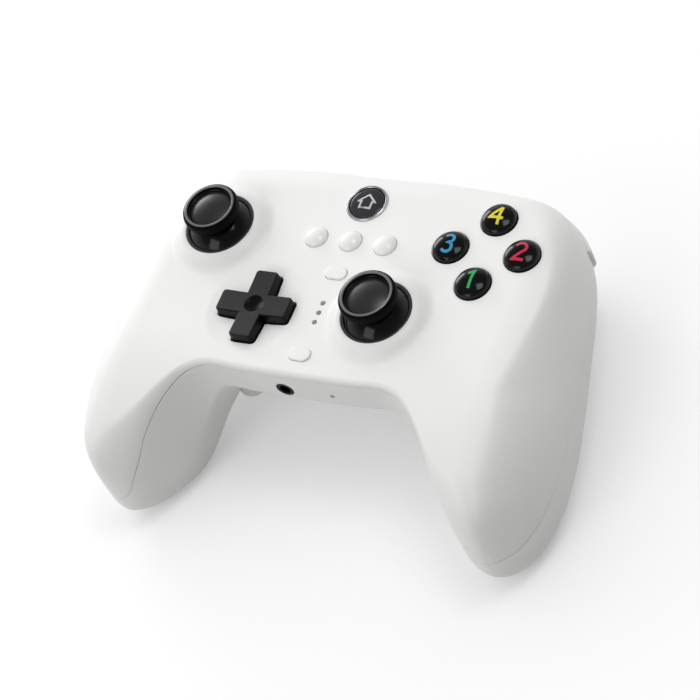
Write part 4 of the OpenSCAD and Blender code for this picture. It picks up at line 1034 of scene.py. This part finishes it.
NUMERALS = {
    "south": ([[(-1.2, 1.7), (0.3, 2.9), (0.3, -2.9)]], ("#2fae5c", "#29a254")),
    "east": ([stroke_arc((0, 1.2), 1.6, 165, -35) + [(-1.6, -2.6), (1.8, -2.6)]], ("#cf2a4a", "#c02443")),
    "west": ([stroke_arc((0, 1.4), 1.35, 150, -90) + stroke_arc((0, -1.35), 1.5, 90, -150)[1:]],
             ("#3d9cc6", "#358fb8")),
    "north": ([[(0.9, -2.9), (0.9, 2.9)], [(0.9, 2.9), (-1.9, -0.8), (2.1, -0.8)]], ("#e4d63a", "#d9c931")),
}
face_ball = dome_radius(FACE_BUTTON_R, BUTTON_DOME)
face_top = FACE_H + FACE_BUTTON_TOP
face_profile = button_profile(FACE_BUTTON_R, face_top, BUTTON_DOME, BUTTON_EDGE, FLANGE_TOP)
for place, middle in FACE_BUTTONS.items():
    node = "button_" + place
    button = turned(node + "_cap", face_profile, middle, 96)
    finish(button, [black_gloss], node, [node], 35)
    strokes, (colour, tint) = NUMERALS[place]
    lines = [ribbon("stroke", path, NUMERAL_LINE, middle, face_top, face_ball) for path in strokes]
    # Printed ink: a saturated tone with a faint mottle, under the same gloss as the button
    ink = moulded("numeral_ink_" + place, colour, tint, (0.16, 0.24), 0.5, 0.0005, drift_mm=3)
    finish(joined(node + "_numeral", lines), [ink], node, [])

# Home button
# A button in smoked polycarbonate with a plain house outline printed on it in silver. A chromed ring is
# pressed into the face round it, and a flange under the face keeps the button in.
HOME_RING_BAND = 0.7
# The ring's profile: how far in from its outer edge, and how far over the face
BEZEL = [
    (HOME_RING_BAND, -1.6), (0, -1.6), (0, 0.3), (0.1, 0.5), (0.35, 0.6), (0.6, 0.5), (HOME_RING_BAND, 0.3),
]
HOME_TOP = 0.9
HOME_DOME = 0.5
HOME_EDGE = 0.25
SMALL_FLANGE_TOP = FACE_H - WALL - 0.4
HOUSE = [(0, -2), (-1.7, -2), (-1.7, 0.2), (-2.6, 0.2), (0, 2.6), (2.6, 0.2), (1.7, 0.2), (1.7, -2)]
HOUSE_LINE = 0.6

# Chromed plastic: a bright cool mirror, slightly soft
chrome = metal("chromed_plastic", "#d3d5d9", "#c3c6cb", (0.14, 0.22), 0.8)
# Smoked polycarbonate: dark grey and glossy, so the room shows as a soft slope of light
smoked = moulded(
    "smoked_polycarbonate", "#2b2b2e", "#313134", (0.12, 0.18), 0.8, 0.0006, ior=1.58, drift_mm=9)
# Silver ink: pale grey with a dull sheen
silver_ink = moulded("silver_ink", "#c6c7c9", "#bcbdc0", (0.3, 0.4), 0.4, 0.001)
home_ring = hoop("home_bezel", [(HOME_R - inward, FACE_H + over) for inward, over in BEZEL], HOME, 96)
finish(home_ring, [chrome], "housing", ["home_ring"], 60)
home_r = HOME_R - HOME_RING_BAND - CLEAR
home_top = FACE_H + HOME_TOP
home_profile = button_profile(home_r, home_top, HOME_DOME, HOME_EDGE, SMALL_FLANGE_TOP)
home_button = turned("home_cap", home_profile, HOME, 96)
finish(home_button, [smoked], "home_button", ["home_button"], 35)
home_ball = dome_radius(home_r, HOME_DOME)
house = ribbon("home_house_mark", HOUSE + HOUSE[:2], HOUSE_LINE, HOME, home_top, home_ball)
finish(house, [silver_ink], "home_button", [])

# Small white buttons
# Three round and two oblong buttons in white ABS, a little shinier than the shell. Each is held by its own
# flange under the face and stands on a stem over the silicone pad.
MENU_TOP = 1.9
MENU_DOME = 1.5
MENU_EDGE = 0.2
PILL_TOP = 0.6
PILL_EDGE = 0.4
PILL_STEM_R = 1.2
PILL_STEM_ROOT = 0.5

# Polished white ABS: whiter and glossier than the grained shell
white_gloss = moulded("white_abs_polished", "#f2f2f1", "#eeeeec", (0.18, 0.26), 0.8, 0.001)
menu_profile = button_profile(MENU_R, FACE_H + MENU_TOP, MENU_DOME, MENU_EDGE, SMALL_FLANGE_TOP)
for place, middle in MENU_ROW.items():
    node = "menu_button_" + place
    button = turned(node + "_cap", menu_profile, middle)
    finish(button, [white_gloss], node, [node], 35)
pill_low = SMALL_FLANGE_TOP - FLANGE_T
pill_top = FACE_H + PILL_TOP
pill_rows = [
    (FLANGE_OUT, pill_low), (FLANGE_OUT, SMALL_FLANGE_TOP), (0, SMALL_FLANGE_TOP), (0, pill_top - PILL_EDGE),
]
for a in np.radians(np.linspace(15, 90, 6)):
    pill_rows.append((-PILL_EDGE * (1 - math.cos(a)), pill_top - PILL_EDGE * (1 - math.sin(a))))
for place, middle in PILLS.items():
    node = place + "_pill_button"
    pill = solid(node + "_cap", *loft([
        oblong_ring(PILL_L + 2 * grow, PILL_W + 2 * grow, z, middle) for grow, z in pill_rows]))
    combine(pill, peg("stem", PILL_STEM_R, STEM_LOW, pill_low + PILL_STEM_ROOT, middle, 32), "UNION")
    finish(pill, [white_gloss], node, [node], 35)

# Direction cross
# One moulding in black ABS: two drafted bars with rounded edges, slightly hollow on top, with a round dimple.
# A flange under the face keeps it in, and a socket below sits on the bead that it rocks on.
CROSS_TOP = 2.4
CROSS_HALF_TOP = 3.5
CROSS_EDGE = 0.4
CROSS_HOLLOW = 0.3
CROSS_DRAFT = 0.2
CROSS_LOW = (FACE_H - 3, FACE_H - 2)
CROSS_FLANGE_R = 10
CROSS_FLANGE_Z = (FACE_H - 6.5, FACE_H - 5.5)
CROSS_HUB_R = 4.4
BEAD_ROOM_R = 2.1
BEAD_ROOM_Z = (FACE_H - 7, FACE_H - 5.6)
ARM_STEPS = 6
TOP_RINGS = (0.9, 0.75, 0.55, 0.35, 0.15)
DIMPLE_R = 6
DIMPLE_RISE = 5
TOP_SKIN = 0.05
TOP_LEVEL = 0.9

# Black ABS with a light grain: deep black, with softened highlights along the edges
black_satin = moulded("black_abs_satin", "#0a0a0b", "#0f0f10", (0.28, 0.38), 0.5, 0.003, shine=0.1)
# The same black plastic on the top of the arms, coloured charcoal as a painted sheen for the light the tops
# reflect, and dull
black_top_sheen_paint = moulded("black_abs_painted_sheen", "#2a2a2b", "#323233", (0.34, 0.44), 0.5, 0.004)


def arm_sag(reach):
    """How far the top of the arms lies below their ends, at a share of the half span."""
    return CROSS_HOLLOW * np.maximum(0, 1 - reach ** 2)


cross_top = FACE_H + CROSS_TOP
rows = [(CROSS_HALF_SPAN, CROSS_HALF_BASE, z) for z in CROSS_LOW]
for turn in np.radians(np.linspace(0, 90, 6)):
    inward = CROSS_EDGE * (1 - math.cos(turn))
    rows.append((CROSS_HALF_SPAN - CROSS_DRAFT - inward, CROSS_HALF_TOP - inward,
                 cross_top - CROSS_EDGE + CROSS_EDGE * math.sin(turn)))
top_span, top_w, _ = rows[-1]
rows += [(share * top_span, share * top_w, cross_top) for share in TOP_RINGS]
rings = []
for half_span, half_w, z in rows:
    ring = plus_ring(half_span, half_w, z, CROSS_CORNER * half_span / CROSS_HALF_SPAN, ARM_STEPS)
    if z > FACE_H:
        reach = np.linalg.norm(ring[:, :2] - CROSS, axis=1) / CROSS_HALF_SPAN
        ring[:, 2] -= arm_sag(reach)
    rings.append(ring)
cross = solid("direction_cross", *loft(rings))
flange_low, flange_top = CROSS_FLANGE_Z
hub = [(0, flange_low), (CROSS_FLANGE_R, flange_low), (CROSS_FLANGE_R, flange_top), (CROSS_HUB_R, flange_top),
       (CROSS_HUB_R, CROSS_LOW[1]), (0, CROSS_LOW[1])]
combine(cross, turned("hub", hub, CROSS), "UNION")
ball_z = cross_top + DIMPLE_RISE
ball = [(DIMPLE_R * math.sin(a), ball_z - DIMPLE_R * math.cos(a))
        for a in np.linspace(0.01, math.pi - 0.01, 64)]
combine(cross, turned("dimple", ball, CROSS, 72), "DIFFERENCE")
combine(cross, peg("socket", BEAD_ROOM_R, *BEAD_ROOM_Z, CROSS, 40), "DIFFERENCE")
finish(cross, [black_satin, black_top_sheen_paint], "cross", ["dpad_cross"], 32)
# The flat tops of the arms take the charcoal painted sheen
for polygon in cross.data.polygons:
    reach = (polygon.center.xy / MM - Vector(CROSS)).length / CROSS_HALF_SPAN
    if polygon.normal.z > TOP_LEVEL and polygon.center.z / MM > cross_top - arm_sag(reach) - TOP_SKIN:
        polygon.material_index = 1

# Bumpers
# White ABS bars that follow the top edge round each shoulder. Each lies in a pocket of the rear shell, turns
# on its inner end and presses a switch on the board.
BUMPER_STEPS = np.linspace(BUMPER_FROM, BUMPER_TO, 60)
BUMPER_CORNER = 1.6
BUMPER_LOW_CORNER = 2
BUMPER_BEVEL = 0.4


def bumper_ring(u):
    """Rounded outline of a bumper at u."""
    top, low = bumper_levels(u)
    high, deep = BUMPER_CORNER, BUMPER_LOW_CORNER
    rows = [(-BUMPER_DEEP, top)]
    rows += arc_about((BUMPER_OUT - high, top - high), high, 90, 0, 8)
    rows += arc_about((BUMPER_OUT - deep, low + deep), deep, 0, -90, 8)
    rows.append((-BUMPER_DEEP, low))
    return band_line(u, rows)


def bevelled(piece, width, segments=3, angle=40):
    """Rounds the sharp edges of a piece."""
    step = piece.modifiers.new("edges", "BEVEL")
    step.width = width * MM
    step.segments = segments
    step.limit_method = "ANGLE"
    step.angle_limit = math.radians(angle)
    plain_mesh(piece)
    return piece


for side, sign in (("left", -1), ("right", 1)):
    bumper = solid(side + "_bumper_bar", *loft([bumper_ring(u) * (sign, 1, 1) for u in BUMPER_STEPS]))
    bevelled(bumper, BUMPER_BEVEL)
    finish(bumper, [white_gloss], side + "_bumper", [side + "_bumper"], 40)

# Triggers
# Hooked levers in white ABS, each on a steel pin below its bumper. A round back closes the slot in the rear
# shell at any pull, and a wound spring lies in a room beside the hub.
HOOK_MID = np.array((ROW_Y + 14.4, 14.6))
HOOK_R = 14.2
HOOK_IN_MID = np.array((ROW_Y + 10.5, 13.2))
HOOK_IN_R = 11
HUB_R = 4
HUB_LIP = 0.3
SPRING_ROOM = 3.5
SPRING_GAP = 0.2
# Spans of the lever's arcs, in degrees
HOOK_TIP = -78
HOOK_IN_SPAN = (-52, 20)
DRUM_SPAN = (-52, -160)
HUB_SPAN = (180, 0)
TRIGGER_BEVEL = 0.7

hook_from = math.degrees(math.asin((HOOK_TOP - HOOK_MID[1]) / HOOK_R))
lever = (
    arc_about(HOOK_MID, HOOK_R, hook_from, HOOK_TIP, 40)
    + arc_about(HOOK_IN_MID, HOOK_IN_R, *HOOK_IN_SPAN, 24)
    + arc_about(TRIGGER_PIVOT, DRUM_R, *DRUM_SPAN, 36)
    + arc_about(TRIGGER_PIVOT, HUB_R, *HUB_SPAN, 24)
    + [(TRIGGER_PIVOT[0] + HUB_R + HUB_LIP, HOOK_TOP)]
)
for side, sign in (("left", -1), ("right", 1)):
    inner_x, outer_x = sign * TRIGGER_X, sign * (TRIGGER_X + TRIGGER_W)
    rings = [np.array([(x, y, z) for y, z in lever]) for x in (inner_x, outer_x)]
    trigger = bevelled(solid(side + "_trigger_lever", *loft(rings)), TRIGGER_BEVEL, 4, 50)
    bore_from = min(inner_x, outer_x) - 1
    bore = cross_bar("bore", PIN_R + SEAT, bore_from, TRIGGER_W + 2, *TRIGGER_PIVOT, 40)
    combine(trigger, bore, "DIFFERENCE")
    room_from = min(inner_x - sign, inner_x + sign * SPRING_ROOM)
    room = cross_bar("room", HUB_R + SPRING_GAP, room_from, SPRING_ROOM + 1, *TRIGGER_PIVOT, 48)
    combine(trigger, room, "DIFFERENCE")
    finish(trigger, [white_gloss], side + "_trigger", [side + "_trigger"], 40)

# Rear paddles
# Two oblong keys in white ABS in the back, where the fingers curl round the grips. Each is hinged at its
# upper end and has a plunger up to a switch on the board.
PLUNGER_Y = PADDLE_TOP_Y - 14
PLUNGER_TOP = BOARD_BOTTOM - 4.2
PLUNGER_R = 1.6
PLUNGER_BEVEL = 0.2
PADDLE_EDGE = 1.2
PADDLE_ROOT = 0.5

paddle_rows = [(-PADDLE_EDGE * (1 - math.cos(a)), PADDLE_LOW + PADDLE_EDGE * (1 - math.sin(a)))
               for a in np.radians(np.linspace(90, 0, 8))]
paddle_rows.append((0, PADDLE_LOW + PADDLE_T))
plunger_low = PADDLE_LOW + PADDLE_T - PADDLE_ROOT
plunger_profile = [(0, plunger_low), (PLUNGER_R, plunger_low), (PLUNGER_R, PLUNGER_TOP - PLUNGER_BEVEL),
                   (PLUNGER_R - PLUNGER_BEVEL, PLUNGER_TOP), (0, PLUNGER_TOP)]
for side, sign in (("left", -1), ("right", 1)):
    middle = (sign * PADDLE_X, PADDLE_TOP_Y - PADDLE_L / 2)
    paddle = solid(side + "_paddle_key", *loft([
        oblong_ring(PADDLE_L + 2 * grow, PADDLE_W + 2 * grow, z, middle, True) for grow, z in paddle_rows]))
    combine(paddle, turned("plunger", plunger_profile, (middle[0], PLUNGER_Y), 32), "UNION")
    finish(paddle, [white_gloss], side + "_paddle", [side + "_paddle"], 40)

# Inside and sockets
# The board, stick modules, pads, motors, battery and sockets keep the shapes of the solids, screwed, soldered
# or pressed in place as they are there. Each gets the finish of its own material.

# Spring and pin steel, drawn and bright
spring_steel = metal("drawn_steel", "#a9acb1", "#8e9196", (0.22, 0.34), 0.3)
# Silicone rubber: milky and matt
silicone = moulded("milky_silicone", "#d9d9d4", "#cfcfca", (0.5, 0.62), 0.8, 0.003, ior=1.41)
# Solder-masked board: deep green with a faint copper pattern under the lacquer
board_lacquer = moulded("green_solder_mask", "#1f5a38", "#2a6b45", (0.25, 0.4), 1.6, 0.004, drift_mm=2.5)
# Shrink wrap round the cell: dark blue film with a soft crinkle
shrink_wrap = moulded("blue_shrink_wrap", "#2f3f5a", "#38496a", (0.22, 0.36), 2.5, 0.02)
# Nylon of the stick frames and motor caps: neutral grey and dull
grey_nylon = moulded("grey_nylon", "#8b8c8e", "#808183", (0.45, 0.58), 0.6, 0.004)
SLOT_FINISHES = {
    "white_plastic": white_abs, "white_button": white_gloss, "black_gloss": black_gloss,
    "black_satin": black_satin, "grey_plastic": grey_nylon, "light_pipe": light_pipe, "steel": spring_steel,
    "silver_ring": chrome, "silicone": silicone, "board_green": board_lacquer, "battery_wrap": shrink_wrap,
}
slot_of = {subpart["node"]: subpart["material_slot"] for subpart in frame["record"]["subparts"]}
for name, node in frame["nodes"].items():
    node.data.materials.clear()
    node.data.materials.append(SLOT_FINISHES[slot_of[name]])

# Studio
# A white sweep in a soft room whose light leans to the left and the back, with three softboxes for the
# highlights, seen as the photograph sees it.
FOCAL_PX = 2600
IMAGE_PX = 700
SENSOR = 36
TOWARD = Vector((0.47, -0.4509, 0.7589)).normalized()
UPWARD = Vector((-0.1249, 0.8171, 0.5628))
OFFSET = (0.3105, 31.04, 736.07)
# The room is bright low down, as a white sweep is, and dim overhead; Z is the sine of the height in the sky
ROOM_BRIGHT_TO = 0.15
ROOM_DIM_FROM = 0.65
ROOM_DIM = 0.2
# The light that the room sheds, which leans to the left and the back
SHED_FROM = (-0.5, 0.3, 0.81)
SHED_LEVEL = 0.03
SHED_LEAN = 1.25
FLOOR_WHITE = "#d9d9d9"
FLOOR_LIFT = 0.3
FLOOR_HALF = 2
# Softboxes: place (m), width, height and power
LAMPS = {
    "low_softbox": ((-0.41, 0.28, 0.16), 0.24, 0.12, 0.5),
    "high_softbox": ((0.25, 0.13, 0.77), 0.28, 0.28, 1.2),
    "front_softbox": ((-0.21, -0.75, 0.63), 0.45, 0.45, 1.6),
}

lens = bpy.data.cameras.new("camera")
lens.sensor_width = SENSOR
lens.lens = SENSOR * FOCAL_PX / IMAGE_PX
lens.clip_end = 20
camera = bpy.data.objects.new("camera", lens)
bpy.context.scene.collection.objects.link(camera)
right_way = UPWARD.cross(TOWARD).normalized()
up_way = TOWARD.cross(right_way)
eye = Vector((0, ROW_Y, FACE_H)) - right_way * OFFSET[0] - up_way * OFFSET[1] + TOWARD * OFFSET[2]
turn = Matrix((right_way, up_way, TOWARD)).transposed().to_4x4()
camera.matrix_world = Matrix.Translation(eye * MM) @ turn
bpy.context.scene.camera = camera

world = bpy.data.worlds.new("soft_room")
world.use_nodes = True
sky_tree = world.node_tree
bpy.context.scene.world = world


def seen_directly(tree):
    """1 for rays from the camera, from gloss and through clear pieces; 0 for rays that only light."""
    path = add(tree, "ShaderNodeLightPath", {})
    mirrored = add(tree, "ShaderNodeMath", {"operation": "ADD"},
                   [(0, path.outputs["Is Glossy Ray"]), (1, path.outputs["Is Transmission Ray"])])
    whole = add(tree, "ShaderNodeMath", {"operation": "ADD", "use_clamp": True},
                [(0, path.outputs["Is Camera Ray"]), (1, mirrored.outputs[0])])
    return whole.outputs[0]


sky = add(sky_tree, "ShaderNodeTexCoord", {})
height = add(sky_tree, "ShaderNodeSeparateXYZ", {}, [("Vector", sky.outputs["Generated"])])
fall = add(sky_tree, "ShaderNodeMapRange", {
    "interpolation_type": "SMOOTHSTEP", "From Min": ROOM_BRIGHT_TO, "From Max": ROOM_DIM_FROM,
    "To Min": 1, "To Max": ROOM_DIM}, [("Value", height.outputs["Z"])])
lean = add(sky_tree, "ShaderNodeVectorMath", {"operation": "DOT_PRODUCT", 1: SHED_FROM},
           [(0, sky.outputs["Generated"])])
shed = add(sky_tree, "ShaderNodeMapRange",
           {"From Min": -SHED_LEVEL / SHED_LEAN, "To Max": SHED_LEVEL + SHED_LEAN},
           [("Value", lean.outputs["Value"])])
level = add(sky_tree, "ShaderNodeMix", {}, [
    (0, seen_directly(sky_tree)), (2, shed.outputs["Result"]), (3, fall.outputs["Result"])])
background = sky_tree.nodes["Background"]
background.inputs["Color"].default_value = (1, 1, 1, 1)
sky_tree.links.new(level.outputs[0], background.inputs["Strength"])

for name, (place, width, tall, power) in LAMPS.items():
    lamp = bpy.data.lights.new(name, "AREA")
    lamp.shape = "RECTANGLE"
    lamp.size = width
    lamp.size_y = tall
    lamp.energy = power
    softbox = bpy.data.objects.new(name, lamp)
    aim = (Vector(place) - Vector((0, 0, FACE_H * MM))).to_track_quat("Z", "Y").to_matrix().to_4x4()
    softbox.matrix_world = Matrix.Translation(place) @ aim
    bpy.context.scene.collection.objects.link(softbox)

sheet = bpy.data.meshes.new("floor")
floor_corners = [(x * FLOOR_HALF, y * FLOOR_HALF, 0) for x, y in ((-1, -1), (1, -1), (1, 1), (-1, 1))]
sheet.from_pydata(floor_corners, [], [(0, 1, 2, 3)])
floor = bpy.data.objects.new("floor", sheet)
bpy.context.scene.collection.objects.link(floor)
paper = bpy.data.materials.new("white_paper_sweep")
paper.use_nodes = True
paper_shader = paper.node_tree.nodes["Principled BSDF"]
paper_shader.inputs["Base Color"].default_value = linear(FLOOR_WHITE)
paper_shader.inputs["Roughness"].default_value = 0.9
paper_shader.inputs["Specular IOR Level"].default_value = 0.1
paper_shader.inputs["Emission Color"].default_value = (1, 1, 1, 1)
glow = add(paper.node_tree, "ShaderNodeMapRange", {"To Min": 0, "To Max": FLOOR_LIFT},
           [("Value", seen_directly(paper.node_tree))])
paper.node_tree.links.new(glow.outputs["Result"], paper_shader.inputs["Emission Strength"])
sheet.materials.append(paper)

bpy.context.scene.view_settings.view_transform = "Standard"
